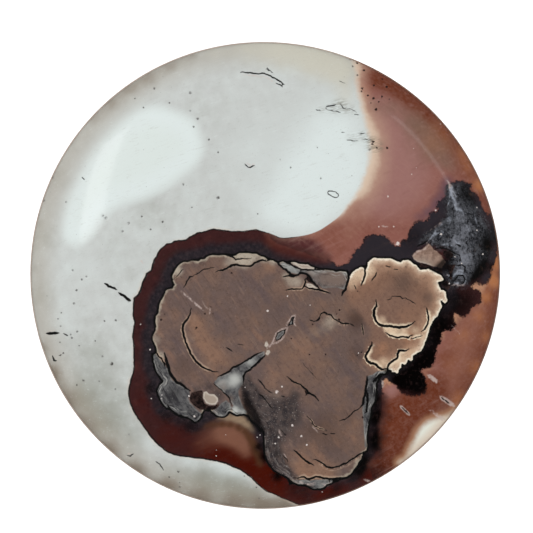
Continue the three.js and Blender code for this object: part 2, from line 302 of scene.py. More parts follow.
outlines["rosette"] = flow([
    (6.0, -0.9), (6.1, 0.9), (8.0, 2.2), (12.0, 1.3), (14.2, 0.2), (14.5, -2.4), (13.0, -5.5),
    (10.8, -8.0), (8.9, -7.2), (7.4, -6.6), (7.6, -5.3), (7.9, -4.4), (7.6, -3.4), (6.9, -2.6),
    (6.2, -1.9)], closed=True)
patches["bean_grey"] =[
    (-4.6, 1.1, 0.6, 0.4), (-1.0, -9.0, 0.8, 1.0), (0.0, -9.9, 0.9, 0.9), (-1.3, -8.3, 0.5, 0.8),
    (0.5, -10.7, 1.0, 0.9), (1.7, -9.8, 0.9, 0.8), (-0.2, -11.2, 0.8, 1.0), (0.1, -12.2, 0.8, 1.0),
    (1.2, -11.7, 0.8, 0.5), (0.4, -13.2, 0.8, 1.0), (0.9, -14.1, 0.7, 1.0), (1.6, -14.9, 0.6, 1.0),
    (2.3, -10.7, 0.8, 0.5), (2.4, -12.3, 0.7, 0.35), (-4.2, -8.3, 0.6, 0.6), (-3.4, -8.9, 0.5, 0.6),
    (-2.9, -9.9, 0.4, 0.6), (-6.3, -8.0, 0.3, 0.5), (-1.4, -7.6, 0.4, 0.6), (3.3, 0.4, 0.5, 0.3),
    (-5.2, -8.6, 0.4, 0.5), (2.3, -8.9, 0.5, 0.5), (2.6, -15.3, 0.4, 0.6)]
patches["soot"] =[
    (13.4, 1.0, 0.28, 0.9), (13.1, 0.65, 0.2, 0.7), (-1.45, -8.9, 0.4, 0.7), (-1.3, -9.6, 0.45, 0.9),
    (-1.0, -10.3, 0.5, 1.0), (-0.7, -10.9, 0.45, 1.0), (-0.3, -11.5, 0.35, 0.9), (-1.7, -8.2, 0.3, 0.5),
    (3.2, -0.2, 0.4, 0.5), (9.1, -7.2, 0.35, 0.9), (8.3, -8.9, 0.3, 0.6), (7.9, -10.6, 0.3, 0.5),
    (0.05, -12.8, 0.3, 0.5), (0.35, -14.2, 0.3, 0.5), (7.7, -12.6, 0.3, 0.6), (13.5, 0.6, 0.4, 0.9),
    (13.7, 1.6, 0.35, 0.7), (13.4, -0.6, 0.3, 0.8), (0.9, -13.3, 0.4, 0.5), (12.9, 0.6, 0.4, 0.6),
    (14.5, 0.1, 0.2, 0.6), (-4.9, -9.4, 0.4, 0.4), (6.5, -15.2, 0.4, 0.6), (3.0, -16.1, 0.5, 0.5),
    (5.4, -15.9, 0.5, 0.6)]
patches["bean_pale"] =[
    (-2.0, 1.35, 0.7, 0.8), (-0.9, 1.4, 0.6, 0.7), (0.0, 1.3, 0.35, 0.8), (-6.5, 0.35, 0.4, 1.0),
    (-4.6, 1.1, 0.7, -0.3), (-2.8, 0.9, 0.5, 0.4), (-8.1, -3.3, 0.3, 0.6), (-8.1, -4.8, 0.45, 0.5),
    (-7.8, -6.0, 0.4, 0.9), (-7.7, -1.9, 0.3, 0.5), (0.6, 0.95, 0.3, 0.6), (1.9, -0.5, 0.6, 0.5),
    (2.5, -0.5, 0.5, 0.5), (1.5, 0.0, 0.35, 0.5), (5.0, -3.3, 0.6, 0.35), (5.8, -3.8, 0.4, 0.3),
    (0.7, -9.0, 0.6, 0.35), (4.0, -14.6, 0.9, 0.25), (5.6, -14.75, 0.5, 0.3), (6.9, -13.9, 0.3, 0.7),
    (5.0, -12.6, 1.3, -0.35), (3.2, -11.6, 1.0, -0.35), (4.5, -10.8, 1.2, -0.35),
    (6.4, -10.6, 0.7, -0.3), (-5.3, -3.3, 0.4, 0.2), (-5.5, -4.6, 0.5, 0.25), (-5.0, -5.8, 0.5, 0.2),
    (0.6, -6.9, 0.7, 0.15), (4.6, -3.7, 0.7, 0.35), (3.6, -4.4, 0.8, 0.25), (-4.2, -6.6, 0.5, 0.25),
    (6.8, -3.3, 0.9, -0.75), (6.8, -5.8, 0.9, -0.45), (-6.0, -6.9, 1.2, -0.4), (1.0, -2.2, 1.6, -0.15),
    (6.6, -8.5, 0.8, -0.2), (-1.5, 0.95, 0.5, 0.6), (7.3, -11.0, 0.5, 0.2), (2.2, -14.0, 0.6, 0.25)]
patches["bean_warm"] =[
    (-4.9, -4.8, 1.1, 0.9), (-5.3, -3.4, 0.7, 0.9), (-4.0, -5.9, 1.0, 0.7), (-3.0, -6.3, 0.9, 0.4),
    (-1.0, 0.2, 1.0, 0.4), (0.4, 0.6, 0.6, 0.7), (-2.6, 0.1, 0.8, 0.3), (0.9, -7.0, 1.2, 0.3),
    (3.0, -6.5, 2.0, 0.3), (0.5, -8.0, 1.0, 0.4), (5.0, -4.8, 1.4, 0.3), (4.8, -9.0, 1.2, 0.3),
    (6.2, -8.0, 1.0, 0.3), (3.4, -14.5, 0.9, 1.0), (4.6, -14.8, 0.8, 1.0), (6.6, -11.2, 0.7, 0.6),
    (2.4, -13.6, 0.7, 0.8), (2.7, -5.2, 1.3, 0.4), (2.7, -14.6, 0.6, 0.8), (-6.4, -5.8, 1.3, -0.6),
    (-2.0, -2.6, 1.8, -0.3), (1.5, -2.6, 1.3, -0.5), (6.8, -3.6, 0.9, -0.7), (6.7, -5.8, 1.1, -0.6),
    (-5.5, -7.6, 0.6, 0.5), (2.0, -9.6, 0.8, -0.8), (3.0, -9.9, 0.8, -0.4), (1.0, -11.5, 1.5, -0.5)]
patches["rosette_warm"] =[
    (8.6, -5.7, 0.7, 0.45), (8.9, -5.2, 0.4, 0.4), (10.7, -4.5, 0.6, 0.7), (10.9, -5.9, 0.7, 0.7),
    (12.1, -4.0, 0.4, 0.6), (10.4, -2.9, 0.9, 0.35), (9.6, 1.0, 0.9, 0.3), (7.6, -0.4, 0.7, 0.3),
    (12.9, 0.4, 0.5, 0.4)]
patches["rosette_pale"] =[
    (8.75, -3.3, 0.35, 0.55), (9.1, -4.0, 0.3, 0.9), (9.5, -4.1, 0.4, 1.0), (10.3, -4.2, 0.4, 0.7),
    (11.2, -4.1, 0.4, 0.5), (11.9, -4.6, 0.35, 0.6), (10.2, -6.5, 0.7, 0.7), (11.0, -5.7, 0.6, 0.4),
    (8.8, -6.5, 0.45, 0.6), (7.0, 0.0, 0.5, 0.6), (7.8, 0.4, 0.6, 0.6), (6.5, -0.7, 0.5, 0.4),
    (10.3, -0.5, 1.1, -0.7), (12.2, -1.7, 0.6, -0.6), (12.4, -3.4, 0.3, 0.5), (12.9, -0.2, 0.5, 0.4)]

# Pieces of cream and of grey-blue chalcedony caught between the beans
cream_chips =[
    [(10.95, 1.5), (11.3, 1.85), (11.8, 2.0), (12.0, 2.2), (12.2, 2.4), (12.4, 2.2), (12.6, 1.98),
        (13.1, 1.6), (13.3, 1.3), (13.5, 1.0), (13.35, 0.75), (13.2, 0.55), (12.6, 0.67), (12.0, 0.85),
        (11.4, 1.0), (11.1, 1.25)],
    [(-4.6, -8.7), (-4.35, -8.65), (-4.2, -8.85), (-3.8, -8.9), (-3.55, -9.15), (-3.5, -9.4),
        (-3.75, -9.65), (-4.1, -9.65), (-4.4, -9.55), (-4.62, -9.2)],
    [(1.9, 1.0), (2.4, 0.95), (2.8, 0.86), (3.3, 0.82), (3.6, 0.65), (4.0, 0.5), (3.6, 0.46),
        (2.8, 0.48), (2.4, 0.65), (2.1, 0.86)],
    [(3.05, -0.75), (3.1, -0.6), (3.3, -0.58), (3.6, -0.7), (4.02, -0.98), (3.6, -0.95), (3.2, -0.88)],
    [(0.1, -5.55), (0.3, -5.55), (0.42, -5.75), (0.2, -6.02), (0.02, -5.85)],
    [(-0.08, -5.25), (0.0, -4.95), (0.12, -4.9), (0.25, -5.15), (0.15, -5.4)]]
grey_chips =[
    [(-8.38, -5.9), (-8.2, -5.8), (-8.05, -6.0), (-7.6, -6.6), (-7.35, -6.8), (-7.15, -7.3),
        (-6.95, -7.8), (-6.5, -8.1), (-6.0, -8.3), (-5.65, -8.65), (-5.6, -8.95), (-5.75, -9.2),
        (-5.6, -9.5), (-5.35, -9.75), (-5.1, -10.05), (-4.75, -10.3), (-4.72, -10.55), (-5.0, -10.88),
        (-5.25, -11.0), (-5.6, -10.75), (-5.9, -10.6), (-6.3, -10.55), (-6.7, -10.35), (-7.0, -10.05),
        (-7.35, -9.95), (-7.7, -9.6), (-7.85, -9.3), (-8.05, -8.95), (-8.1, -8.6), (-7.95, -8.2),
        (-7.65, -7.9), (-8.0, -7.5), (-8.25, -7.0), (-8.4, -6.4)],
    [(-4.05, -10.15), (-3.6, -9.9), (-3.35, -9.6), (-2.95, -9.3), (-2.6, -9.55), (-2.55, -10.0),
        (-2.8, -10.4), (-3.1, -10.6), (-3.6, -10.55), (-3.9, -10.3)],
    [(0.0, -5.6), (-0.5, -5.85), (-1.2, -6.25), (-2.0, -6.7), (-2.35, -6.9), (-2.7, -7.25),
        (-3.5, -7.6), (-3.85, -8.0), (-3.3, -8.55), (-2.7, -9.1), (-2.4, -9.7), (-2.5, -10.0),
        (-2.4, -10.4), (-1.5, -10.4), (-1.35, -10.2), (-1.6, -9.9), (-1.95, -9.0), (-2.0, -8.6),
        (-1.65, -8.1), (-1.55, -7.4), (-1.1, -7.0), (-0.6, -6.5), (-0.05, -5.95)],
    [(1.05, 0.98), (1.4, 1.0), (1.9, 0.8), (2.4, 0.5), (2.8, 0.4), (4.3, 0.42), (5.2, 0.32),
        (6.15, 0.25), (6.15, -0.5), (5.9, -1.05), (5.3, -0.9), (4.3, -0.95), (3.9, -0.7), (3.5, -0.3),
        (3.2, 0.05), (2.7, 0.2), (2.5, 0.1), (1.9, 0.2), (1.6, 0.5), (1.3, 0.6)],
    [(9.0, -7.12), (9.0, -7.35), (8.7, -7.45), (8.55, -7.7), (8.3, -8.1), (8.35, -8.7), (8.3, -9.2),
        (8.15, -9.6), (7.95, -9.9), (7.9, -10.5), (7.8, -11.0), (7.6, -11.8), (7.6, -12.9),
        (7.45, -12.9), (7.4, -11.5), (7.3, -10.6), (7.25, -10.0), (7.35, -9.4), (7.45, -8.7),
        (7.65, -8.1), (7.6, -7.5), (8.0, -7.4), (8.4, -7.15)],
    [(1.8, -15.55), (2.1, -15.3), (2.5, -15.35), (3.0, -15.25), (3.4, -15.3), (4.2, -15.25),
        (5.4, -15.2), (5.6, -15.3), (5.1, -15.5), (4.6, -15.65), (4.4, -15.9), (3.8, -16.02),
        (3.4, -15.92), (3.1, -15.68), (2.6, -15.65), (2.1, -15.5)],
    [(0.85, -4.85), (0.82, -4.6), (0.97, -4.3), (1.25, -4.12), (1.5, -4.05), (1.4, -4.4), (1.1, -4.7)],
    [(1.7, -3.75), (1.9, -3.45), (2.05, -3.15), (2.12, -3.6)]]
outlines["cream"] = cream_chips
outlines["grey"] = grey_chips
patches["grey_warm"] =[
    (4.4, -0.2, 0.9, 0.6), (5.6, -0.2, 0.8, 0.8), (3.4, 0.25, 0.4, 0.6), (-3.2, -8.2, 0.5, 0.5),
    (-3.8, -10.2, 0.3, 0.4), (-2.6, -9.2, 0.4, 0.5)]
patches["grey_pale"] =[
    (-2.3, -7.8, 0.6, 0.9), (-1.0, -6.4, 0.5, 0.4), (-2.3, -10.1, 0.4, 1.0), (-1.5, -10.2, 0.35, 0.8),
    (1.6, 0.75, 0.6, 0.5), (2.2, 0.4, 0.5, 0.4), (-1.2, -6.4, 0.4, 0.3), (3.6, 0.35, 0.5, 0.5),
    (6.0, 0.2, 0.3, 0.7), (-7.0, -9.0, 0.8, -0.5), (-8.0, -6.8, 0.5, -0.4), (-5.6, -10.3, 0.6, -0.35),
    (-3.0, -10.1, 0.5, 0.15), (0.4, -13.2, 1.0, -0.6), (1.2, -14.4, 0.6, -0.5), (8.0, -8.6, 0.6, -0.5),
    (7.6, -9.8, 0.5, 0.3), (7.6, -12.0, 0.6, 0.5), (4.2, -15.6, 0.7, 0.4), (2.8, -15.4, 0.4, 0.4),
    (-2.7, -8.7, 0.6, 0.1), (-7.5, -8.0, 0.3, 0.3), (8.9, -7.2, 0.3, 0.8), (-3.4, -8.0, 0.5, 0.4)]
dark_chips =[
    [(-5.5, -8.75), (-5.0, -8.6), (-4.65, -8.55), (-4.68, -9.1), (-4.5, -9.55), (-4.2, -9.72),
        (-3.8, -9.72), (-3.5, -9.55), (-3.4, -9.7), (-3.7, -10.0), (-4.2, -10.1), (-4.9, -10.0),
        (-5.3, -9.75), (-5.6, -9.4), (-5.65, -9.1)],
    [(3.1, 0.1), (3.35, -0.1), (3.6, -0.45), (4.1, -1.05), (3.7, -0.8), (3.5, -0.62), (3.25, -0.5),
        (3.05, -0.3)],
    [(11.1, 1.05), (11.4, 0.9), (11.7, 0.95), (12.2, 0.82), (12.6, 0.6), (13.2, 0.5), (13.25, 0.15),
        (12.9, 0.3), (12.3, 0.55), (11.9, 0.55), (11.6, 0.5), (11.4, 0.78)],
    [(13.3, 1.9), (13.9, 1.85), (14.1, 1.6), (14.0, 1.3), (13.8, 1.35), (13.6, 1.2), (13.4, 1.4),
        (13.3, 1.5)],
    [(13.5, 0.8), (14.3, 0.85), (14.1, 0.5), (13.95, 0.1), (13.95, -0.4), (13.75, -0.2),
        (13.7, 0.4), (13.4, 0.5)],
    [(13.3, -0.5), (13.6, -0.35), (13.9, -0.8), (13.6, -1.1), (13.4, -0.9), (13.15, -0.7)],
    [(6.2, 0.2), (6.33, 0.1), (6.25, -0.5), (6.1, -0.75), (6.15, -0.3)],
    [(2.85, -8.45), (3.1, -8.6), (3.2, -8.75), (3.05, -8.95), (2.95, -8.7)]]
outlines["dark"] = dark_chips

# The hairlines: shrinkage cracks in the beans, healed with black oxide
fissures +=[
    (0.08, 0.13, [(-3.7, 0.25), (-3.4, 0.4), (-3.2, 0.4), (-2.9, 0.55), (-2.6, 0.65), (-2.4, 0.8),
        (-2.2, 0.83), (-1.9, 0.75), (-1.6, 0.68), (-1.1, 0.7), (-0.8, 0.9), (-0.5, 1.05), (-0.2, 1.15),
        (0.1, 1.1), (0.4, 1.18)]),
    (0.085, -0.15, [(0.4, 1.18), (0.7, 1.1), (0.95, 0.95), (1.15, 0.7), (1.35, 0.5), (1.55, 0.45),
        (1.7, 0.25), (1.9, 0.1), (2.1, 0.0), (2.4, 0.0), (2.6, 0.18), (2.8, 0.15), (3.1, 0.1),
        (3.3, -0.1), (3.5, -0.4), (3.7, -0.65), (3.95, -0.85), (4.1, -1.05)]),
    (0.05, -0.25, [(-3.05, 1.55), (-2.6, 1.42), (-2.2, 1.2), (-1.7, 1.25), (-1.3, 1.2), (-1.0, 1.32)]),
    (0.06, 0, [(1.0, 1.0), (1.35, 1.1), (1.6, 0.95), (1.9, 0.85), (2.3, 0.6), (2.7, 0.45),
        (3.2, 0.4), (4.0, 0.42), (4.3, 0.45)]),
    (0.06, -0.2, [(1.35, -0.1), (1.8, -0.05), (2.0, -0.1), (2.4, 0.0)]),
    (0.06, 0.2, [(1.55, -1.1), (2.0, -1.02), (2.75, -1.02), (2.9, -0.78), (3.0, -0.5), (2.95, -0.3),
        (3.1, -0.2)]),
    (0.065, 0.2, [(2.92, -0.78), (3.3, -0.95), (4.0, -1.05), (4.5, -1.2), (4.9, -1.32)]),
    (0.09, 0, [(6.2, 0.15), (6.22, -0.3), (6.1, -0.7), (6.0, -1.05), (5.8, -1.25), (5.72, -1.5)]),
    (0.035, -0.25, [(-6.1, 0.45), (-6.35, 0.2), (-6.6, -0.1), (-6.85, -0.3)]),
    (0.035, 0, [(-3.8, 0.6), (-4.5, 0.5), (-4.9, 0.25), (-5.4, -0.05)]),
    (0.05, 0, [(-5.35, -0.05), (-5.6, -0.12), (-5.75, -0.35), (-6.1, -0.9)]),
    (0.085, 0.3, [(-5.52, -2.45), (-5.6, -2.8), (-5.75, -3.2), (-6.1, -3.6), (-6.2, -4.0),
        (-6.05, -4.5), (-5.95, -5.0), (-5.75, -5.4), (-5.5, -5.9), (-5.2, -6.4), (-4.85, -6.7),
        (-4.4, -6.95), (-3.9, -7.15), (-3.5, -7.2)]),
    (0.06, 0.2, [(-8.15, -5.6), (-8.0, -5.95), (-7.75, -6.2), (-7.6, -6.55), (-7.5, -6.8)]),
    (0.11, -0.2, [(-7.52, -5.8), (-7.35, -6.4), (-7.18, -7.0), (-6.95, -7.55), (-6.6, -7.95),
        (-6.1, -8.25), (-5.6, -8.62)]),
    (0.065, 0, [(-3.6, -7.6), (-3.1, -7.4), (-2.7, -7.2), (-2.35, -6.85), (-2.0, -6.7),
        (-1.6, -6.5), (-1.2, -6.25), (-0.9, -6.05), (-0.5, -5.8), (-0.2, -5.7)]),
    (0.085, 0, [(0.0, -5.92), (-0.3, -6.2), (-0.6, -6.5), (-0.8, -6.75), (-1.1, -7.0), (-1.4, -7.2),
        (-1.58, -7.4), (-1.6, -7.8), (-1.65, -8.1)]),
    (0.04, 0, [(0.85, -4.85), (0.8, -4.6), (0.95, -4.3), (1.25, -4.12), (1.52, -4.05), (1.4, -4.4),
        (1.1, -4.72), (0.87, -4.85)]),
    (0.04, 0, [(1.7, -3.78), (1.9, -3.45), (2.0, -3.15), (2.15, -3.1), (2.05, -3.4), (2.08, -3.62),
        (1.75, -3.75)]),
    (0.045, 0, [(-0.52, -7.75), (-0.3, -8.0), (0.0, -8.4), (0.3, -8.65), (0.6, -8.78)]),
    (0.07, -0.15, [(1.6, -7.52), (2.0, -7.85), (2.3, -8.0), (2.6, -8.15), (2.85, -8.35),
        (3.1, -8.55), (3.2, -8.75), (3.5, -8.9), (3.8, -9.05), (3.98, -9.35)]),
    (0.05, 0, [(3.2, -8.75), (3.02, -8.97)]),
    (0.045, 0, [(-0.45, -8.85), (-0.1, -9.1), (0.15, -9.45), (0.35, -9.75), (0.58, -9.98)]),
    (0.04, 0, [(-2.95, -5.38), (-2.75, -5.5), (-2.45, -5.68)]),
    (0.03, 0, [(-2.05, -5.12), (-1.6, -5.2)]),
    (0.05, 0, [(1.2, -9.0), (1.45, -9.06)]),
    (0.015, 0, [(2.8, -6.5), (3.3, -7.1), (3.9, -7.8)]),
    (0.06, -0.3, [(3.9, -3.3), (4.1, -3.05), (4.2, -2.82), (4.4, -2.75), (4.6, -2.88), (4.9, -2.95),
        (5.1, -3.2), (5.4, -3.42), (5.8, -3.55), (6.1, -3.6), (6.4, -3.6), (6.65, -3.8)]),
    (0.04, 0, [(3.3, -3.3), (3.6, -3.42), (3.9, -3.35), (4.1, -3.2)]),
    (0.045, 0.12, [(7.2, -3.6), (7.28, -4.0), (7.35, -4.45)]),
    (0.1, 0.35, [(8.27, -1.8), (8.3, -2.3), (8.1, -2.6), (8.13, -3.0), (8.28, -3.4), (8.5, -3.7),
        (8.8, -3.8), (9.3, -3.78), (9.6, -3.85), (10.0, -3.9), (10.3, -3.85), (10.6, -3.8),
        (10.9, -3.65), (11.2, -3.42)]),
    (0.03, 0, [(9.1, -1.82), (9.45, -1.7)]),
    (0.035, 0, [(9.4, -1.58), (10.1, -1.56), (10.25, -1.72), (10.5, -1.7), (10.8, -1.85),
        (11.25, -2.15)]),
    (0.07, 0.45, [(9.0, -4.25), (9.3, -4.5), (9.7, -4.6), (10.3, -4.6), (10.7, -4.65), (10.9, -4.5),
        (11.02, -4.45)]),
    (0.035, 0.3, [(10.9, -4.72), (11.3, -4.62), (11.75, -4.48)]),
    (0.07, 0.3, [(12.05, -2.4), (12.15, -2.9), (12.2, -3.3), (12.1, -3.7), (11.9, -4.0),
        (11.65, -4.2)]),
    (0.085, 0.45, [(10.75, -5.48), (10.5, -5.65), (10.0, -5.6), (9.9, -5.9), (9.85, -6.15),
        (9.5, -6.4), (9.3, -6.6), (9.15, -6.8), (9.1, -7.15)]),
    (0.095, 0.45, [(7.95, -4.95), (7.95, -5.2), (7.8, -5.45), (7.55, -5.85), (7.5, -6.1),
        (7.6, -6.35), (7.9, -6.55), (8.25, -6.6), (8.4, -6.85), (8.7, -7.0), (9.05, -6.95)]),
    (0.075, 0.3, [(7.48, 0.6), (7.47, 0.1), (7.32, -0.4), (7.15, -0.75)]),
    (0.045, 0, [(8.32, 0.25), (8.2, -0.1), (7.95, -0.42)]),
    (0.045, 0, [(9.0, 0.72), (9.4, 0.64)]),
    (0.03, 0, [(9.6, 0.46), (9.92, 0.44)]),
    (0.03, 0, [(6.62, -0.68), (6.78, -1.02)]),
    (0.09, -0.1, [(7.6, -7.5), (7.62, -8.1), (7.5, -8.7), (7.38, -9.2), (7.3, -9.6), (7.1, -9.85)]),
    (0.035, 0, [(7.1, -9.85), (6.6, -10.2), (6.3, -10.5), (6.0, -10.7), (5.55, -10.87)]),
    (0.08, 0, [(7.62, -8.7), (7.66, -9.4), (7.6, -10.2), (7.4, -10.3)]),
    (0.09, 0, [(8.95, -7.38), (8.6, -7.4), (8.3, -7.7), (8.05, -7.95)]),
    (0.07, -0.22, [(2.15, -13.05), (2.5, -13.4), (2.9, -13.75), (3.3, -14.0), (3.65, -14.22)]),
    (0.07, -0.35, [(3.6, -13.75), (4.1, -13.88), (4.4, -14.15), (4.7, -14.35), (5.05, -14.4),
        (5.4, -14.3), (6.0, -14.05), (6.3, -13.85), (6.6, -13.65), (7.0, -13.4), (7.5, -13.15)]),
    (0.075, 0.32, [(2.1, -15.15), (2.5, -15.15), (2.9, -15.05), (3.1, -15.22), (3.4, -15.2),
        (3.8, -15.05), (4.3, -15.15), (4.9, -15.2), (5.5, -15.15), (6.0, -15.13)]),
    (0.04, 0.1, [(3.1, -10.5), (3.4, -10.75), (3.55, -11.05), (3.8, -11.3), (4.2, -11.45),
        (4.6, -11.58)]),
    (0.04, 0, [(4.25, -11.78), (4.65, -11.9)]),
    (0.04, 0, [(4.85, -11.8), (5.25, -11.8)]),
    (0.04, 0, [(1.15, -11.45), (1.35, -11.7), (1.55, -11.92)]),
    (0.03, 0, [(1.35, -13.45), (1.6, -13.75), (1.7, -13.95)]),
    (0.04, 0, [(-7.55, -9.45), (-7.2, -9.75), (-6.95, -10.1), (-6.6, -10.35), (-6.2, -10.45)]),
    (0.04, 0, [(-3.85, -8.05), (-3.2, -8.6), (-2.7, -9.15), (-2.5, -9.7)]),
    (0.05, 0, [(11.4, 2.2), (11.7, 2.35), (12.0, 2.5), (12.2, 2.65)]),
    (0.05, 0, [(12.6, 1.9), (12.9, 2.05), (13.3, 2.05), (13.8, 1.9), (14.2, 1.6), (14.6, 1.55)]),
    (0.05, 0, [(14.55, 1.55), (14.55, 1.0)]),
    (0.05, 0, [(14.2, -0.3), (14.4, 0.0), (14.8, 0.0), (14.95, -0.3), (14.8, -0.6), (14.5, -0.65)]),
    (0.05, 0, [(14.3, 0.75), (14.7, 0.8), (14.95, 0.6), (14.9, 0.2)]),
    (0.06, 0, [(14.3, 2.3), (14.65, 2.15)])]

# Cracks in the polish of the pale cap and of the host beside it
fissures +=[
    (0.055, 0, [(-1.85, 15.18), (-1.5, 15.22), (-1.1, 15.15), (-0.7, 15.08), (-0.1, 15.12),
        (0.3, 14.95), (0.7, 14.75), (1.1, 14.5), (1.42, 14.28)]),
    (0.03, 0, [(0.8, 14.4), (1.1, 14.25), (1.3, 14.08)]),
    (0.025, 0, [(0.15, 15.55), (0.25, 15.35), (0.6, 15.15)]),
    (0.05, 0, [(4.55, 12.62), (5.3, 12.78)]),
    (0.035, 0, [(3.8, 12.4), (4.15, 12.33)]),
    (0.025, 0, [(4.5, 12.48), (5.1, 12.3), (5.65, 12.15)]),
    (0.025, 0, [(5.6, 12.85), (5.8, 12.52), (6.4, 12.45), (6.85, 12.2)]),
    (0.035, 0, [(6.65, 12.02), (7.02, 12.0)]),
    (0.03, 0, [(5.55, 14.55), (6.0, 14.38)]),
    (0.025, 0, [(5.7, 10.7), (5.95, 10.68)]),
    (0.025, 0, [(6.1, 10.12), (7.0, 10.05)]),
    (0.03, 0, [(6.95, 10.58), (7.5, 10.65)]),
    (0.025, 0, [(7.2, 10.2), (8.0, 10.1)]),
    (0.05, 0, [(-1.52, 8.35), (-1.3, 8.1), (-1.1, 8.05), (-0.8, 8.2)]),
    (0.09, 0, [(-12.0, -0.6), (-11.7, -0.8), (-11.4, -0.88), (-11.05, -1.08)]),
    (0.1, 0, [(-10.95, -1.28), (-10.6, -1.47), (-10.3, -1.72), (-10.05, -1.9)]),
    (0.11, 0, [(-16.4, -4.33), (-15.9, -4.35), (-15.45, -4.3)]),
    (0.05, 0, [(-15.1, -4.33), (-14.75, -4.52)]),
    (0.05, 0, [(-15.95, -6.0), (-15.82, -6.35), (-15.62, -6.38)]),
    (0.035, 0, [(-8.2, -13.92), (-7.9, -14.12), (-7.6, -14.6)]),
    (0.04, 0, [(-10.35, -13.48), (-10.1, -13.52), (-9.85, -13.35)]),
    (0.03, 0, [(-13.7, 7.35), (-13.5, 7.15)]),
    (0.04, 0, [(13.2, -9.12), (13.5, -9.35), (13.8, -9.62)]),
    (0.035, 0, [(10.15, -9.8), (10.45, -10.1), (10.75, -10.38)])]
loop_turn = np.linspace(0, 2 * np.pi, 13)
loop_x = 5.08 + 0.4 * np.cos(loop_turn) + 0.02 * np.sin(loop_turn)
loop_y = 6.08 + 0.2 * np.sin(loop_turn) - 0.12 * np.cos(loop_turn)
fissures += [(0.025, 0, np.column_stack([loop_x, loop_y]))]

# Pale strokes: scratches that hold polishing powder, quartz in the vein between two beans, and painted
# reflection strokes in the dark mass
strokes_and_sheen +=[
    (0.06, [(-6.3, -1.15), (-5.7, -1.65), (-5.2, -2.1), (-4.6, -2.6)]),
    (0.03, [(-4.7, -1.8), (-4.5, -2.2), (-4.3, -2.5)]),
    (0.03, [(-4.1, -2.4), (-4.15, -2.9)]),
    (0.05, [(0.3, -5.35), (0.55, -5.02), (0.66, -4.7), (0.83, -4.32), (1.15, -4.05), (1.5, -3.92),
        (1.72, -3.85)]),
    (0.05, [(0.55, -5.15), (0.95, -4.97), (1.3, -4.7), (1.5, -4.35), (1.68, -3.92)]),
    (0.045, [(1.66, -3.88), (1.6, -3.6), (1.8, -3.36), (2.02, -3.03), (2.28, -2.93)]),
    (0.045, [(2.25, -2.95), (2.18, -3.3), (2.15, -3.6), (2.3, -3.78)]),
    (0.04, [(0.1, -5.5), (0.35, -5.3), (0.15, -5.1)]),
    (0.15, [(12.15, -7.45), (12.4, -7.6), (12.7, -7.85), (13.0, -8.05)]),
    (0.17, [(13.05, -9.05), (13.45, -9.3), (13.95, -9.65), (14.2, -9.8)]),
    (0.11, [(10.08, -9.72), (10.4, -10.05), (10.8, -10.45)]),
    (0.05, [(11.9, -9.85), (12.3, -10.15), (12.8, -10.5), (13.3, -10.9)]),
    (0.04, [(12.5, -10.05), (12.9, -10.35), (13.5, -10.8)]),
    (0.08, [(7.35, -15.25), (7.65, -15.38), (7.95, -15.5)]),
    (0.07, [(8.75, -7.85), (8.8, -8.15), (8.8, -8.4)]),
    (0.02, [(13.9, -3.7), (14.5, -4.3), (15.0, -4.9)]),
    (0.02, [(11.9, 3.1), (12.5, 3.5), (13.2, 4.0)]),
    (0.03, [(3.5, -11.25), (3.75, -11.5), (3.95, -11.75)]),
    (0.04, [(1.0, -11.5), (1.1, -11.75), (1.25, -12.0)]),
    (0.03, [(1.35, -13.3), (1.6, -13.65)]),
    (0.05, [(8.7, 3.7), (9.2, 3.6)]),
    (0.05, [(9.7, 2.3), (10.1, 2.45)]),
    (0.06, [(14.0, -0.75), (14.3, -0.55), (14.9, -0.75)]),
    (0.05, [(14.3, 0.2), (14.5, 0.45), (14.85, 0.3)]),
    (0.07, [(14.08, -0.1), (14.2, 0.12), (14.5, 0.17), (14.85, 0.05)]),
    (0.06, [(14.15, -0.5), (14.4, -0.72), (14.8, -0.7), (15.0, -0.4)]),
    (0.06, [(13.6, 0.1), (13.75, -0.05)]),
    (0.05, [(14.05, 2.75), (14.3, 2.5), (14.6, 2.3)]),
    (0.05, [(13.2, 2.3), (13.6, 2.35), (14.0, 2.2)]),
    # Painted reflection: the strokes in the dark mass from here on paint the whitish glint at the lower end
    # of the right strip light's highlight, and the sheen that fans down from it.
    (0.08, [(13.75, 6.8), (13.95, 6.0), (14.25, 5.2), (14.4, 4.4)]),
    (0.04, [(13.9, 6.7), (13.8, 5.8), (13.6, 4.9)]),
    (0.04, [(14.1, 6.3), (14.6, 5.3), (14.9, 4.2), (15.3, 3.2)]),
    (0.05, [(13.5, 7.3), (13.8, 6.8), (14.1, 6.5)]),
    (0.035, [(12.2, 2.6), (12.9, 3.5), (13.9, 4.5)]),
    (0.03, [(12.0, 2.4), (12.5, 2.9), (13.3, 3.4)]),
    (0.03, [(12.9, 2.7), (13.6, 3.6), (14.2, 4.4)]),
    (0.02, [(15.3, 5.3), (15.9, 3.8), (16.2, 2.9)]),
    (0.02, [(15.9, 4.9), (16.3, 3.6)]),
    (0.05, [(11.05, 1.45), (11.35, 1.78), (11.9, 1.95), (12.2, 2.3)]),
    (0.05, [(-16.35, -4.15), (-15.5, -4.12)]),
    (0.04, [(-1.45, 8.45), (-1.1, 8.2), (-0.75, 8.35)]),
    (0.05, [(-9.6, 1.3), (-9.3, 1.2), (-9.1, 0.9)]),
    (0.05, [(-10.35, -13.35), (-10.0, -13.3)]),
    (0.03, [(-1.8, 15.02), (-0.9, 14.95), (0.2, 14.8), (0.9, 14.2)]),
    (0.05, [(1.9, -15.7), (2.6, -15.45), (3.2, -15.75), (3.8, -15.5), (4.6, -15.75), (5.2, -15.4)]),
    (0.04, [(2.2, -15.4), (3.0, -15.5), (3.9, -15.85), (4.5, -15.5)])]

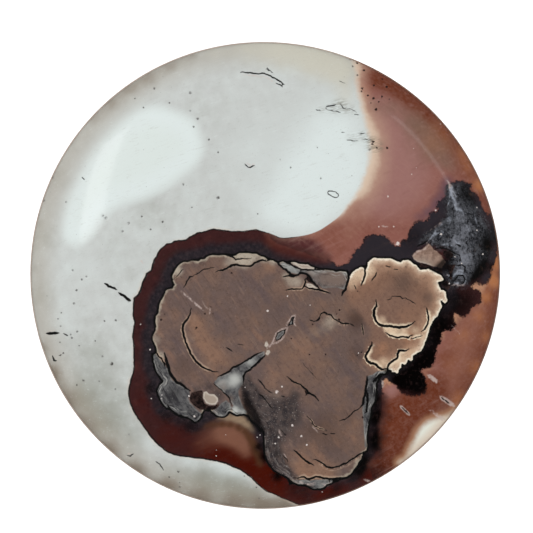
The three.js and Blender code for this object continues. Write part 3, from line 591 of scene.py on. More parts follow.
# Pinholes that stand out one by one: x, y, radius
pinholes =[
    (6.55, 15.66, .11), (6.9, 15.93, .12), (7.4, 15.37, .12), (7.26, 14.0, .12), (7.21, 13.76, .1),
    (8.14, 14.22, .11), (9.09, 14.1, .12), (8.74, 13.4, .1), (8.3, 12.43, .12), (7.69, 13.47, .1),
    (8.1, 13.26, .1), (8.05, 10.0, .13), (8.0, 9.82, .13), (8.36, 9.53, .11), (9.11, 9.53, .11),
    (7.8, 9.4, .1), (6.36, 16.2, .1), (6.9, 15.0, .09), (8.5, 13.0, .08), (7.9, 12.9, .08),
    (9.3, 13.2, .08), (8.8, 14.7, .08), (-3.5, 5.8, .15), (-8.3, 14.0, .13), (-5.6, 13.65, .12),
    (-7.15, 12.9, .1), (-9.1, 12.55, .1), (-5.05, 11.7, .13), (-5.35, 11.1, .1), (-4.2, 10.15, .1),
    (-6.1, 6.8, .1), (-11.9, 4.3, .12), (-9.2, 4.4, .11), (-12.1, 4.45, .1), (-5.45, 5.1, .08),
    (-15.9, 7.35, .12), (-14.9, 5.5, .1), (-16.6, 5.6, .12), (-7.65, 4.0, .11), (-10.2, 3.9, .12),
    (-10.65, 3.3, .1), (-8.55, 3.45, .09), (-3.5, 9.2, .09), (1.9, 8.05, .1), (4.15, 7.25, .09),
    (3.9, 9.55, .06), (8.1, 10.0, .12), (8.0, 9.8, .1), (8.35, 9.55, .1), (7.8, 9.4, .08),
    (9.1, 9.5, .08), (7.25, 14.0, .1), (6.55, 15.65, .08), (6.9, 15.9, .08), (7.4, 15.35, .1),
    (8.15, 14.2, .1), (9.1, 14.1, .1), (8.3, 12.4, .1), (-11.45, -6.6, .18), (-12.15, -6.05, .1),
    (-14.45, -4.67, .11), (-14.55, -4.42, .08), (-15.5, -3.25, .1), (-15.3, -3.8, .1),
    (-15.25, -2.8, .09), (-14.3, -2.1, .11), (-14.1, -1.1, .11), (-13.7, -0.3, .1), (-14.4, 0.4, .1),
    (-13.35, -0.08, .09), (-11.15, -3.35, .11), (-12.0, -3.4, .1), (-12.7, -4.9, .08),
    (-14.05, -4.2, .1), (-15.1, -5.8, .11), (-15.4, -6.0, .09), (-13.6, -7.85, .12), (-14.1, -8.2, .1),
    (-12.4, -7.9, .08), (-11.2, -8.5, .08), (-15.35, -5.0, .08), (-6.5, -14.7, .13), (-7.2, -15.1, .09),
    (-6.4, -15.5, .08), (-6.4, -15.85, .1), (-0.65, -15.85, .07), (-1.55, -15.0, .07),
    (-0.45, -16.7, .08), (-10.15, -1.87, .16), (-0.7, -8.6, .09), (-7.78, -3.3, .1), (-7.5, -2.9, .08),
    (-5.15, -3.9, .1), (-4.5, -2.85, .09), (-3.9, -2.85, .08), (-4.05, -2.35, .08), (-2.5, 0.2, .08),
    (3.55, -3.65, .08), (5.55, -2.6, .09), (5.33, -2.88, .07), (5.52, -3.3, .13), (7.2, -5.75, .07),
    (6.9, -5.97, .06), (6.9, -1.18, .08), (4.5, -5.9, .09), (3.3, -5.9, .08), (3.1, -4.65, .07),
    (1.95, -4.7, .07), (10.5, 0.65, .09), (7.28, -10.6, .09), (-10.2, -11.9, .07), (-0.55, 4.6, .08),
    (-13.9, -5.25, .07), (-9.75, 13.25, .07), (-5.6, 12.3, .08)]
# White specks of fresh quartz, the same way
quartz_specks =[
    (0.2, -2.65, .12), (0.85, -8.75, .2), (9.15, 5.87, .13), (9.92, 2.38, .2), (12.75, 4.88, .15),
    (10.95, 7.55, .09), (8.5, 3.65, .09), (9.62, 3.65, .1), (-5.3, -10.5, .14), (-7.72, -8.93, .1),
    (-7.75, -9.2, .09), (-5.68, -9.0, .09), (2.0, -11.2, .12), (2.7, -12.0, .12), (0.75, -12.55, .09),
    (1.0, -12.1, .12), (-0.6, -12.08, .1), (-0.4, -11.92, .07), (1.65, -1.55, .09), (3.35, -2.2, .07),
    (13.15, 3.1, .12), (14.1, 6.0, .08), (15.85, 5.1, .1), (15.85, 3.4, .09), (4.27, -16.2, .1),
    (-3.65, -13.05, .07), (-3.65, -13.5, .07), (5.85, 5.85, .0), (11.3, 8.05, .05), (13.15, 11.35, .07),
    (3.1, -12.65, .09), (-8.6, -5.55, .08), (-9.3, -3.65, .07), (-8.5, -9.2, .09), (-1.5, -8.35, .1),
    (1.25, -8.3, .08), (6.95, -5.8, .07), (-5.15, -2.25, .08), (11.1, 9.5, .06), (14.2, 1.4, .1),
    (14.7, 0.9, .1), (16.3, 1.6, .09), (13.75, -0.6, .12), (-2.95, -11.9, .07)]

# The mesh lies flat at first: a fine sheet of triangles whose edges follow every hairline and the outlines
# of the rind, the cap and the chips, closet round them and looser between. The wall and the back are rings
# and a looser sheet.
round_count = 540
line_step = 0.1
rng = np.random.default_rng(7)
foot_radius = dome_reach * math.sin(dome_end) ** (2 / dome_flatness)
ring_angle = np.arange(round_count) * 2 * np.pi / round_count


def ring(radius):
    reach = radius * out_of_round(ring_angle)
    return np.column_stack([reach * np.cos(ring_angle) - middle_x, reach * np.sin(ring_angle) - middle_y])


def even_steps(line, step):
    """The line again, with points no more than one step apart."""
    line = np.array(line, float)
    pieces = []
    for a, b in zip(line[:-1], line[1:]):
        count = max(1, math.ceil(np.linalg.norm(b - a) / step))
        pieces.append(a + (b - a) * (np.arange(count) / count)[:, None])
    return np.vstack(pieces + [line[-1:]])


def crinkle(line, reach, step=0.16, closed=False):
    """A line broken up the way brittle stone cracks, pushed aside by up to about this reach."""
    line = np.array(line, float)
    if closed:
        line = np.vstack([line, line[:1]])
    line = even_steps(line, step)
    run = np.gradient(line, axis=0)
    run /= np.maximum(np.hypot(*run.T), 1e-9)[:, None]
    wobble = rng.uniform(-1, 1, len(line)) * 0.6
    jolts = np.repeat(rng.uniform(-1, 1, len(line) // 3 + 1), 3)[:len(line)] * 0.5
    aside = wobble + jolts
    aside[0] = aside[-1] = 0
    line = line + np.column_stack([-run[:, 1], run[:, 0]]) * (aside * reach)[:, None]
    return line[:-1] if closed else line


def true_radius(places):
    """Distance from the axis, with the out-of-round taken off again."""
    x, y = places[:, 0] + middle_x, places[:, 1] + middle_y
    return np.hypot(x, y) / out_of_round(np.arctan2(y, x))


def hex_grid(step):
    count = int(foot_radius / step) + 2
    column, row = np.meshgrid(np.arange(-count, count + 1), np.arange(-count, count + 1))
    x = (column + (row % 2) / 2) * step
    y = row * step * math.sqrt(0.75)
    return np.column_stack([x.ravel(), y.ravel()]) + rng.uniform(-0.08, 0.08, (x.size, 2)) * step


outlines["beans"] = crinkle(outlines["beans"], 0.035, closed=True)
cap_sharp_edge = crinkle(cap_sharp_edge, 0.02)
outlines["cap"] = np.vstack([cap_soft_edge, cap_sharp_edge,[
    (3.4, -24), (-24, -24), (-24, 24), (6.0, 24)]])
outlines["rind"] = np.vstack([crinkle(rind_edge, 0.035), cap_sharp_edge[::-1]])
fissures = [(width, pale_reach, crinkle(line, 0.045)) for width, pale_reach, line in fissures]
fissures += [(0.075, 0, np.vstack([outlines["beans"], outlines["beans"][:1]]))]
fissures += [(0.045, 0, cap_sharp_edge[:-2])]
fissures += [(0.02, 0, [(0.7, 3.0), (1.0, 2.83), (1.4, 2.78), (2.2, 2.85)])]
rim_rings = [dome_reach * math.sin(math.radians(a)) ** (2 / dome_flatness) for a in range(62, 86, 2)]
lines = [even_steps(points, line_step) for width, pale_reach, points in fissures]
borders = [outlines["rind"], outlines["cap"]]
borders += [np.array(chip) for chips in (cream_chips, grey_chips, dark_chips) for chip in chips]
lines += [even_steps(np.vstack([border, border[:1]]), line_step) for border in borders]
spots = np.array([(x, y) for x, y, radius in pinholes + quartz_specks])
near_lines = np.vstack(lines + [spots])
near_lines = near_lines[true_radius(near_lines) < foot_radius - 0.1]
tree = kdtree.KDTree(len(near_lines))
for index, (x, y) in enumerate(near_lines):
    tree.insert((x, y, 0), index)
tree.balance()
sheet = [ring(foot_radius)]
for step, nearest, farthest in ((0.11, 0.06, 0.3), (0.2, 0.3, 0.9), (0.33, 0.9, 99)):
    grid = hex_grid(step)
    grid = grid[true_radius(grid) < rim_rings[0] - 0.1]
    gap = np.array([tree.find((x, y, 0))[2] for x, y in grid])
    sheet.append(grid[(gap > nearest) & (gap <= farthest)])
for number, radius in enumerate(rim_rings):
    around = ring(radius)[number % 2::2] if number < 8 else ring(radius)
    gap = np.array([tree.find((x, y, 0))[2] for x, y in around])
    sheet.append(around[gap > 0.06])
points = np.vstack(sheet)
edges = [(i, (i + 1) % round_count) for i in range(round_count)]
for line in lines:
    keep = true_radius(line) < foot_radius - 0.08
    kept = [i for i in range(len(line) - 1) if keep[i] and keep[i + 1]]
    edges += [(len(points) + i, len(points) + i + 1) for i in kept]
    line[~keep] = 0
    points = np.vstack([points, line])
points = np.vstack([points, spots])
made = delaunay_2d_cdt([Vector(p) for p in points], edges, [], 0, 1e-5)
top = np.array([tuple(v) for v in made[0]])
top_faces = np.array(made[2])
top_ring = [0] * round_count
for new, old in enumerate(made[3]):
    for index in old:
        if index < round_count:
            top_ring[index] = new

# Each outline and hairline leaves its distance on the sheet, in millimetres
far = 4.0


def along(places, a, b):
    """Distance from each place to the stretch from a to b, and how far along it the nearest point is."""
    run = b - a
    share = np.clip(((places - a) @ run) / max(run @ run, 1e-12), 0, 1)
    return np.hypot(*(places - a - share[:, None] * run).T), share


def inside(places, outline):
    """Distance to a closed outline, positive within it."""
    outline = np.array(outline, float)
    nearest = np.full(len(places), far)
    within = np.zeros(len(places), bool)
    for a, b in zip(outline, np.roll(outline, -1, 0)):
        nearest = np.minimum(nearest, along(places, a, b)[0])
        if a[1] != b[1]:
            crossing = (a[1] > places[:, 1]) != (b[1] > places[:, 1])
            edge_x = a[0] + (b[0] - a[0]) * (places[:, 1] - a[1]) / (b[1] - a[1])
            within ^= crossing & (places[:, 0] < edge_x)
    return np.where(within, nearest, -nearest)


def hairline(places, half_width, line):
    """Distance to the black of one hairline, negative within it. Its ends taper."""
    line = np.array(line, float)
    closed = np.allclose(line[0], line[-1])
    length = np.concatenate([[0], np.cumsum(np.hypot(*np.diff(line, axis=0).T))])
    nearest = np.full(len(places), far)
    box = (places > line.min(0) - 0.6) & (places < line.max(0) + 0.6)
    close = box.all(axis=1)
    best = np.full(close.sum(), far)
    for a, b, start, end in zip(line[:-1], line[1:], length[:-1], length[1:]):
        distance, share = along(places[close], a, b)
        position = (start + share * (end - start)) / length[-1]
        taper = 1 if closed else np.clip(4 * np.minimum(position, 1 - position) + 0.35, 0, 1)
        best = np.minimum(best, distance - half_width * taper)
    nearest[close] = best
    return nearest


def pale_side(places, reach, line):
    """1 on the line and 0 beyond its pale edge, on one side of it and fading towards its ends."""
    line = even_steps(line, 0.3)
    amount = np.zeros(len(places))
    close = ((places > line.min(0) - 0.6) & (places < line.max(0) + 0.6)).all(axis=1)
    near = places[close]
    best = np.full(len(near), far)
    left = np.zeros(len(near), bool)
    taper = np.zeros(len(near))
    for number, (a, b) in enumerate(zip(line[:-1], line[1:])):
        distance, share = along(near, a, b)
        side = (b[0] - a[0]) * (near[:, 1] - a[1]) - (b[1] - a[1]) * (near[:, 0] - a[0])
        position = (number + share) / (len(line) - 1)
        left = np.where(distance < best, side > -0.02, left)
        taper = np.where(distance < best, np.clip(5 * np.minimum(position, 1 - position), 0, 1), taper)
        best = np.minimum(best, distance)
    best = np.where(left if reach > 0 else ~left, best, best * 5 + 0.05)
    amount[close] = np.clip(1 - best / abs(reach), 0, 1) * taper
    return amount


def spots_near(places, spots):
    """Distance to the nearest spot's edge, in shares of its radius, 0 at its middle and 1 at its edge."""
    nearest = np.full(len(places), far)
    for x, y, radius in spots:
        if radius > 0:
            nearest = np.minimum(nearest, np.hypot(places[:, 0] - x, places[:, 1] - y) / radius)
    return nearest


def marks_at(places):
    marks = {}
    for name, outline in outlines.items():
        if name in ("cream", "grey", "dark"):
            marks[name] = np.max([inside(places, chip) for chip in outline], axis=0)
        else:
            marks[name] = inside(places, outline)
    for name, soft in patches.items():
        total = np.zeros(len(places))
        for x, y, reach, amount in soft:
            squared = (places[:, 0] - x) ** 2 + (places[:, 1] - y) ** 2
            total += amount * np.exp(-squared / reach ** 2)
        marks[name] = np.clip(total, -1, 1)
    marks["hairline"] = np.min([hairline(places, width, line) for width, reach, line in fissures], axis=0)
    pale_sides = [pale_side(places, reach, line) for width, reach, line in fissures if reach]
    marks["healed"] = np.max(pale_sides, axis=0)
    marks["stroke_and_sheen"] = np.min([hairline(places, width, line) for width, line in strokes_and_sheen], axis=0)
    marks["pinhole"] = spots_near(places, pinholes)
    marks["quartz"] = spots_near(places, quartz_specks)
    return marks


# The wall, the bevel and the back carry the same markings on, leaning a little as they go down
lean = np.array([0.3, -0.25])
wall_heights = np.linspace(dome_foot + dome_height * math.cos(dome_end), bevel_height, 9)[1:]
wall_radii = foot_radius + (girdle_radius - foot_radius) * np.arange(1, 9) / 8
profile = list(zip(wall_radii, wall_heights))
profile +=[
    (girdle_radius - 0.03, bevel_height - 0.06), (girdle_radius - bevel_width + 0.05, 0.06),
    (girdle_radius - bevel_width - 0.03, 0.0)]
places, heights, faces = [top], [np.full(len(top), dome_foot)], [top_faces]
depth = [np.zeros(len(top))]
count = len(top)
upper = np.array(top_ring)
for radius, z in profile:
    places.append(ring(radius))
    heights.append(np.full(round_count, z))
    depth.append(np.full(round_count, profile[0][1] - z))
    lower = count + np.arange(round_count)
    count += round_count
    side = np.column_stack([upper, lower, np.roll(lower, -1), np.roll(upper, -1)])
    faces.append(np.vstack([side[:, [0, 1, 2]], side[:, [0, 2, 3]]]))
    upper = lower
back_ring = ring(profile[-1][0])
grid = hex_grid(0.45)
grid = grid[true_radius(grid) < profile[-1][0] - 0.3]
made = delaunay_2d_cdt([Vector(p) for p in np.vstack([back_ring, grid])],
                       [(i, (i + 1) % round_count) for i in range(round_count)], [], 0, 1e-5)
number = np.array([old[0] for old in made[3]])
on_ring = upper[np.minimum(number, round_count - 1)]
renamed = np.where(number < round_count, on_ring, count + number - round_count)
faces.append(renamed[np.array(made[2])][:, ::-1])
places.append(grid)
heights.append(np.zeros(len(grid)))
depth.append(np.full(len(grid), profile[0][1]))
places, heights, depth = np.vstack(places), np.concatenate(heights), np.concatenate(depth)
faces = np.vstack(faces)
marks = marks_at(places + depth[:, None] * lean)
marks["on_face"] = (np.arange(len(places)) < len(top)).astype(float)
marks["reach"] = true_radius(places)

sheet_mesh = bpy.data.meshes.new("stone")
sheet_mesh.from_pydata(np.column_stack([places, heights]) * MM, [], faces.tolist())
for name, values in marks.items():
    sheet_mesh.attributes.new(name, "FLOAT", "POINT").data.foreach_set("value", values.astype(np.float32))
sheet_mesh.validate()
sheet_object = bpy.data.objects.new("stone_sheet", sheet_mesh)
bpy.context.scene.collection.objects.link(sheet_object)

# The material comes before the tree that sets it
jasper = bpy.data.materials.new("polished_jasper")
jasper.use_nodes = True
nodes, links = jasper.node_tree.nodes, jasper.node_tree.links
shader = nodes["Principled BSDF"]
place = nodes.new("ShaderNodeTexCoord").outputs["Object"]


def plug(socket, value):
    if isinstance(value, bpy.types.NodeSocket):
        links.new(value, socket)
    else:
        socket.default_value = value


def work(operation, a, b=0.0, c=0.0):
    made = nodes.new("ShaderNodeMath")
    made.operation = operation
    plug(made.inputs[0], a)
    plug(made.inputs[1], b)
    plug(made.inputs[2], c)
    return made.outputs[0]


def rise(value, start, end, to=1.0):
    """0 at the start and to at the end, easing in and out."""
    made = nodes.new("ShaderNodeMapRange")
    made.interpolation_type = "SMOOTHSTEP"
    plug(made.inputs["Value"], value)
    plug(made.inputs["From Min"], start)
    plug(made.inputs["From Max"], end)
    made.inputs["To Max"].default_value = to
    return made.outputs["Result"]


def over(mask, below, above):
    made = nodes.new("ShaderNodeMix")
    made.data_type = "RGBA"
    plug(made.inputs["Factor"], mask)
    plug(made.inputs[6], below)
    plug(made.inputs[7], above)
    return made.outputs[2]


def field(name):
    made = nodes.new("ShaderNodeAttribute")
    made.attribute_name = name
    return made.outputs["Fac"]


def clouds(size, detail=2.0, roughness=0.5, shift=0.0):
    """Soft noise with features of about this many millimetres, 0 to 1."""
    made = nodes.new("ShaderNodeTexNoise")
    made.noise_dimensions = "4D"
    made.normalize = True
    plug(made.inputs["Vector"], place)
    made.inputs["W"].default_value = shift
    made.inputs["Scale"].default_value = 1 / (size * MM)
    made.inputs["Detail"].default_value = detail
    made.inputs["Roughness"].default_value = roughness
    return made.outputs["Fac"]


def both(a, b):
    return work("MULTIPLY", a, b)


def shifted(value, noise, amount):
    return work("MULTIPLY_ADD", work("SUBTRACT", noise, 0.5), amount, value)


def patch(name, noise, spread, start, end, to=1.0):
    """How much of one soft patch or mark lies here, its edge roughened by this noise."""
    return rise(shifted(field(name), noise, spread), start, end, to)


def brushed(size, length, angle, shift=0.0):
    """Noise drawn out into streaks that lie at this angle."""
    turned = nodes.new("ShaderNodeMapping")
    turned.vector_type = "TEXTURE"
    turned.inputs["Rotation"].default_value = (0, 0, math.radians(angle))
    turned.inputs["Scale"].default_value = (length / size, 1, 1)
    links.new(place, turned.inputs["Vector"])
    made = clouds(size, 2.0, 0.6, shift)
    links.new(turned.outputs[0], made.node.inputs["Vector"])
    return made


broad = clouds(3.0, 3.0, 0.55)
middling = clouds(0.9, 3.0, 0.6, 1.0)
fine = clouds(0.28, 2.0, 0.6, 2.0)
dust = clouds(0.12, 2.0, 0.7, 3.0)
growth = brushed(0.17, 1.6, -57, 4.0)
rub = brushed(0.35, 3.0, 24, 5.0)

# The mauve host, browner and redder towards the rim; the darkening there is partly the stone's own redder
# rim and partly painted shade on the steep edge
host = over(rise(broad, 0.3, 0.7), paint(144, 95, 85), paint(132, 83, 72))
host = over(patch("host_pink", middling, 0.4, 0.0, 1.0), host, paint(156, 113, 107))
host = over(patch("host_brown", middling, 0.4, 0.0, 1.0), host, paint(141, 92, 76))
host = over(patch("host_grey", middling, 0.5, 0.0, 1.0), host, paint(124, 95, 82))
# Painted shade: darker and redder towards the rim, partly the stone's own colour and partly shade where the
# dome turns away from the light.
host = over(rise(field("reach"), 15.9, 17.3, 0.6), host, paint(108, 54, 30))
host = over(patch("host_red", middling, 0.5, 0.05, 0.9), host, paint(108, 56, 38))
host = over(patch("host_orange", middling, 0.4, 0.05, 1.0), host, paint(182, 118, 78))
host = over(patch("host_ember", middling, 0.4, 0.1, 1.0), host, paint(64, 24, 8))
host = over(patch("host_dusk", middling, 0.3, 0.1, 0.9), host, paint(86, 50, 50))
host = over(rise(rub, 0.55, 0.8, 0.22), host, paint(176, 138, 130))
host = over(rise(rub, 0.45, 0.2, 0.25), host, paint(112, 66, 58))
host = over(rise(fine, 0.35, 0.75, 0.15), host, paint(172, 130, 118))
host = over(rise(brushed(0.12, 2.0, -40, 9.0), 0.55, 0.8, 0.2), host, paint(178, 136, 122))
cap = field("cap")
edge_grain = shifted(shifted(cap, middling, 0.5), fine, 0.25)
fringe = patch("no_fringe", middling, 0.3, 0.7, 0.2)
narrowed = shifted(edge_grain, field("no_fringe"), -1.6)
host = over(rise(narrowed, -1.5, 0.6, 0.85), host, paint(190, 154, 134))
host = over(rise(narrowed, -0.3, 0.55), host, paint(218, 194, 172))

# The cap of chalcedony
scuffs = brushed(0.11, 1.1, 18, 10.0)
patchy = clouds(1.8, 3.0, 0.6, 6.0)
chalk = over(rise(middling, 0.25, 0.75), paint(205, 209, 206), paint(198, 201, 198))
chalk = over(rise(patchy, 0.45, 0.8, 0.6), chalk, paint(212, 219, 216))
chalk = over(rise(patchy, 0.45, 0.2, 0.5), chalk, paint(188, 187, 186))
chalk = over(patch("cap_pale", middling, 0.5, 0.0, 1.0), chalk, paint(224, 233, 231))
chalk = over(patch("cap_grey", middling, 0.5, 0.0, 1.1), chalk, paint(152, 153, 143))
milk_edge = shifted(field("milk"), middling, 0.6)
milk = both(rise(milk_edge, -0.7, 0.8), rise(field("reach"), 16.8, 14.2))
chalk = over(milk, chalk, paint(222, 231, 227))
chalk = over(both(milk, rise(milk_edge, 2.2, 0.5)), chalk, paint(225, 234, 232))
# Painted shade: the cap darkens and browns towards the rim, partly the stone's own rim tone and partly
# shade where the dome turns away from the light.
chalk = over(rise(field("reach"), 15.0, 17.2, 0.5), chalk, paint(164, 153, 137))
chalk = over(patch("cap_khaki", middling, 0.4, 0.1, 1.0, 0.85), chalk, paint(206, 203, 188))
chalk = over(patch("cap_rim_tone_and_shade", middling, 0.3, 0.1, 1.0), chalk, paint(138, 127, 114))
scuffed = shifted(shifted(scuffs, dust, 0.5), middling, 0.4)
chalk = over(rise(scuffed, 0.56, 0.85, 0.3), chalk, paint(172, 172, 164))
chalk = over(rise(scuffed, 0.4, 0.15, 0.3), chalk, paint(226, 234, 231))
chalk = over(both(rise(dust, 0.6, 0.8, 0.35), rise(milk_edge, 0.8, -0.7)), chalk, paint(146, 146, 142))
chalk = over(rise(clouds(0.2, 1.0, 0.5, 7.0), 0.74, 0.82, 0.6), chalk, paint(104, 102, 98))
smudged = both(patch("smudge", middling, 0.4, 0.1, 0.9), rise(scuffs, 0.38, 0.6, 0.6))
cap_mask = over(fringe, rise(cap, -0.04, 0.04), rise(edge_grain, -0.35, 0.25))
colour = over(cap_mask, host, chalk)
colour = over(smudged, colour, paint(122, 117, 104))
lens = shifted(field("lens"), middling, 0.4)
colour = over(rise(lens, -0.7, -0.1, 0.7), colour, paint(184, 140, 108))
lens_colour = over(rise(field("reach"), 16.5, 17.4), paint(244, 248, 236), paint(234, 218, 198))
colour = over(rise(lens, -0.3, 0.3), colour, lens_colour)

# The rind
rind = field("rind")
beans = field("beans")
maroon = over(rise(middling, 0.5, 0.8, 0.8), paint(62, 37, 37), paint(84, 48, 45))
maroon = over(rise(shifted(rub, fine, 0.4), 0.55, 0.75, 0.5), maroon, paint(40, 20, 22))
maroon = over(rise(shifted(fine, middling, 0.5), 0.44, 0.2, 0.45), maroon, paint(34, 17, 20))
blue_black = over(rise(fine, 0.3, 0.8), paint(40, 36, 40), paint(54, 48, 52))
rind_colour = over(rise(shifted(beans, middling, 0.6), -0.45, -1.15), blue_black, maroon)
rind_colour = over(patch("rind_blue", middling, 0.5, 0.1, 0.9), rind_colour, paint(49, 45, 50))
rind_colour = over(patch("rind_soft", middling, 0.4, 0.1, 1.0, 0.7), rind_colour, paint(84, 42, 36))
rind_colour = over(patch("rind_warm", rub, 0.5, 0.05, 1.0), rind_colour, paint(72, 22, 10))
rind_colour = over(patch("rind_pink", rub, 0.3, 0.0, 1.2), rind_colour, paint(128, 88, 72))
rind_colour = over(patch("rind_tan", rub, 0.5, 0.0, 1.2), rind_colour, paint(148, 126, 104))
rind_colour = over(patch("rind_arc", rub, 0.3, 0.1, 1.0, 0.9), rind_colour, paint(82, 56, 40))
rind_colour = over(patch("rind_black", middling, 0.3, 0.0, 0.9), rind_colour, paint(9, 3, 2))
rind_colour = over(rise(fine, 0.5, 0.85, 0.2), rind_colour, paint(88, 66, 64))
rind_colour = over(rise(rind, 0.12, 0.02, 0.6), rind_colour, paint(30, 22, 24))
rind_edge_mask = rise(shifted(shifted(rind, fine, 0.45), dust, 0.25), -0.09, 0.09)
rind_edge_mask = over(rise(cap, -0.9, -0.4), rind_edge_mask, rise(shifted(rind, fine, 0.2), -0.06, 0.05))
soft_edge = rise(shifted(shifted(rind, middling, 0.7), fine, 0.4), -0.75, 0.4)
rind_edge_mask = over(rise(field("rind_soft"), 0.1, 0.8), rind_edge_mask, soft_edge)
host_line = both(rise(shifted(rind, fine, 0.4), -0.4, -0.08), patch("host_edge", middling, 0.4, 0.1, 0.9))
colour = over(host_line, colour, paint(186, 138, 110))
haze = both(rise(shifted(rind, middling, 0.3), -0.9, -0.05, 0.6), rise(field("mass_haze"), 0.1, 0.9))
colour = over(haze, colour, paint(78, 66, 84))
colour = over(both(rind_edge_mask, rise(cap, 0.06, -0.02)), colour, rind_colour)

# The dark mass at the right, combed by streaks that fan out from one point, the glint where the right strip
# light's highlight ends. The dark and black streaks are the stone's own; the pale streaks of the fan are
# painted reflection, a sheen spreading down from that glint.
reach_from = nodes.new("ShaderNodeVectorMath")
reach_from.operation = "SUBTRACT"
reach_from.inputs[1].default_value = (14.0 * MM, 7.2 * MM, 0)
links.new(place, reach_from.inputs[0])
split_fan = nodes.new("ShaderNodeSeparateXYZ")
links.new(reach_from.outputs[0], split_fan.inputs[0])
fan_place = nodes.new("ShaderNodeCombineXYZ")
fan_turn = work("ARCTAN2", split_fan.outputs["X"], split_fan.outputs["Y"])
plug(fan_place.inputs["X"], work("MULTIPLY", fan_turn, 4 * MM))
plug(fan_place.inputs["Y"], work("MULTIPLY", split_fan.outputs["Y"], 0.12))
fan = clouds(0.16, 3.0, 0.65, 8.0)
links.new(fan_place.outputs[0], fan.node.inputs["Vector"])
mass = over(rise(shifted(fine, fan, 0.5), 0.3, 0.7), paint(30, 30, 33), paint(74, 75, 79))
mass = over(rise(dust, 0.5, 0.72, 0.6), mass, paint(116, 119, 126))
mass_tone_and_sheen = field("mass_tone_and_sheen")
# Painted reflection: pale fan streaks below the glint, laid over the dark mass.
painted_fan_sheen = shifted(shifted(shifted(mass_tone_and_sheen, fan, 0.7), fine, 1.0), dust, 0.6)
mass = over(rise(painted_fan_sheen, 0.2, 1.3), mass, paint(128, 130, 138))
mass = over(rise(shifted(mass_tone_and_sheen, fan, -0.5), 0.0, -1.0), mass, paint(16, 15, 15))
mass = over(rise(middling, 0.6, 0.8, 0.5), mass, paint(96, 74, 62))
colour = over(rise(shifted(shifted(field("mass"), fine, 0.5), middling, 0.4), -0.3, 0.35), colour, mass)

# The beans
taupe = over(rise(shifted(broad, middling, 0.6), 0.3, 0.75), paint(108, 91, 86), paint(121, 97, 85))
taupe = over(patch("bean_warm", middling, 0.6, 0.1, 1.1), taupe, paint(142, 110, 92))
taupe = over(patch("bean_warm", middling, -0.6, -0.1, -1.1), taupe, paint(96, 82, 81))
grown = rise(clouds(1.4, 2.0, 0.5, 11.0), 0.45, 0.65)
drift = brushed(0.9, 2.6, -50, 14.0)
taupe = over(rise(drift, 0.53, 0.75, 0.7), taupe, paint(96, 83, 84))
taupe = over(rise(drift, 0.45, 0.25, 0.6), taupe, paint(146, 111, 92))
taupe = over(both(rise(growth, 0.5, 0.75, 0.45), grown), taupe, paint(146, 120, 106))
taupe = over(rise(growth, 0.44, 0.22, 0.4), taupe, paint(78, 63, 60))
taupe = over(rise(rub, 0.56, 0.75, 0.25), taupe, paint(132, 108, 96))
taupe = over(patch("bean_pale", middling, 0.4, 0.1, 1.0), taupe, paint(178, 166, 150))
taupe = over(rise(field("bean_pale"), 0.0, -1.0), taupe, paint(82, 64, 56))
taupe_rim = rise(shifted(shifted(beans, middling, 0.4), fine, 0.3), 0.28, 0.06, 0.8)
taupe = over(taupe_rim, taupe, paint(180, 168, 150))
spots_grey = shifted(shifted(shifted(field("bean_grey"), middling, 0.9), fine, 0.6), dust, 0.3)
speckle = over(rise(shifted(middling, fine, 0.6), 0.3, 0.75), paint(54, 50, 52), paint(92, 82, 79))
edge_depth = nodes.new("ShaderNodeCombineXYZ")
plug(edge_depth.inputs["Z"], work("MULTIPLY", beans, 4 * MM))
laid = nodes.new("ShaderNodeVectorMath")
laid.operation = "MULTIPLY_ADD"
laid.inputs[1].default_value = (0.5, 0.5, 0)
links.new(place, laid.inputs[0])
links.new(edge_depth.outputs[0], laid.inputs[2])
layered = clouds(0.45, 3.0, 0.65, 12.0)
links.new(laid.outputs[0], layered.node.inputs["Vector"])
near_edge = rise(beans, 1.6, 0.3)
speckle = over(both(rise(layered, 0.5, 0.68, 0.7), near_edge), speckle, paint(138, 130, 126))
speckle = over(both(rise(layered, 0.46, 0.32, 0.7), near_edge), speckle, paint(34, 31, 32))
speckle = over(rise(dust, 0.6, 0.72, 0.8), speckle, paint(164, 156, 150))
taupe = over(rise(spots_grey, 0.1, 0.8), taupe, speckle)
rose = over(rise(shifted(beans, middling, 0.6), 0.15, 0.6), paint(218, 191, 166), paint(170, 135, 112))
rose = over(rise(shifted(beans, middling, 0.7), 0.45, 1.3), rose, paint(136, 104, 87))
rose = over(rise(shifted(beans, middling, 0.8), 1.4, 2.6), rose, paint(130, 101, 87))
rose = over(patch("rosette_warm", middling, 0.5, 0.1, 1.0), rose, paint(170, 124, 96))
rose = over(patch("rosette_pale", middling, 0.4, 0.05, 0.9), rose, paint(224, 196, 166))
rose = over(rise(field("rosette_pale"), 0.0, -1.0), rose, paint(98, 80, 72))
rose = over(rise(growth, 0.5, 0.75, 0.12), rose, paint(180, 146, 124))
rose = over(rise(shifted(beans, fine, 0.25), 0.27, 0.12), rose, paint(244, 232, 210))
in_rosette = patch("rosette", middling, 0.5, -0.35, 0.35)
bean_colour = over(in_rosette, taupe, rose)
bean_colour = over(rise(fine, 0.42, 0.8, 0.35), bean_colour, paint(84, 68, 62))
bean_colour = over(rise(dust, 0.62, 0.76, 0.3), bean_colour, paint(176, 156, 142))
bean_colour = over(rise(dust, 0.42, 0.28, 0.5), bean_colour, paint(62, 52, 48))
healed = rise(shifted(shifted(field("healed"), middling, 0.4), fine, 0.4), 0.12, 0.7)
healed_amount = over(in_rosette, (0.75, 0.75, 0.75, 1), (1, 1, 1, 1))
healed_colour = over(in_rosette, paint(188, 160, 138), paint(230, 208, 180))
bean_colour = over(both(healed, healed_amount), bean_colour, healed_colour)
in_beans = rise(beans, -0.02, 0.02)
colour = over(in_beans, colour, bean_colour)

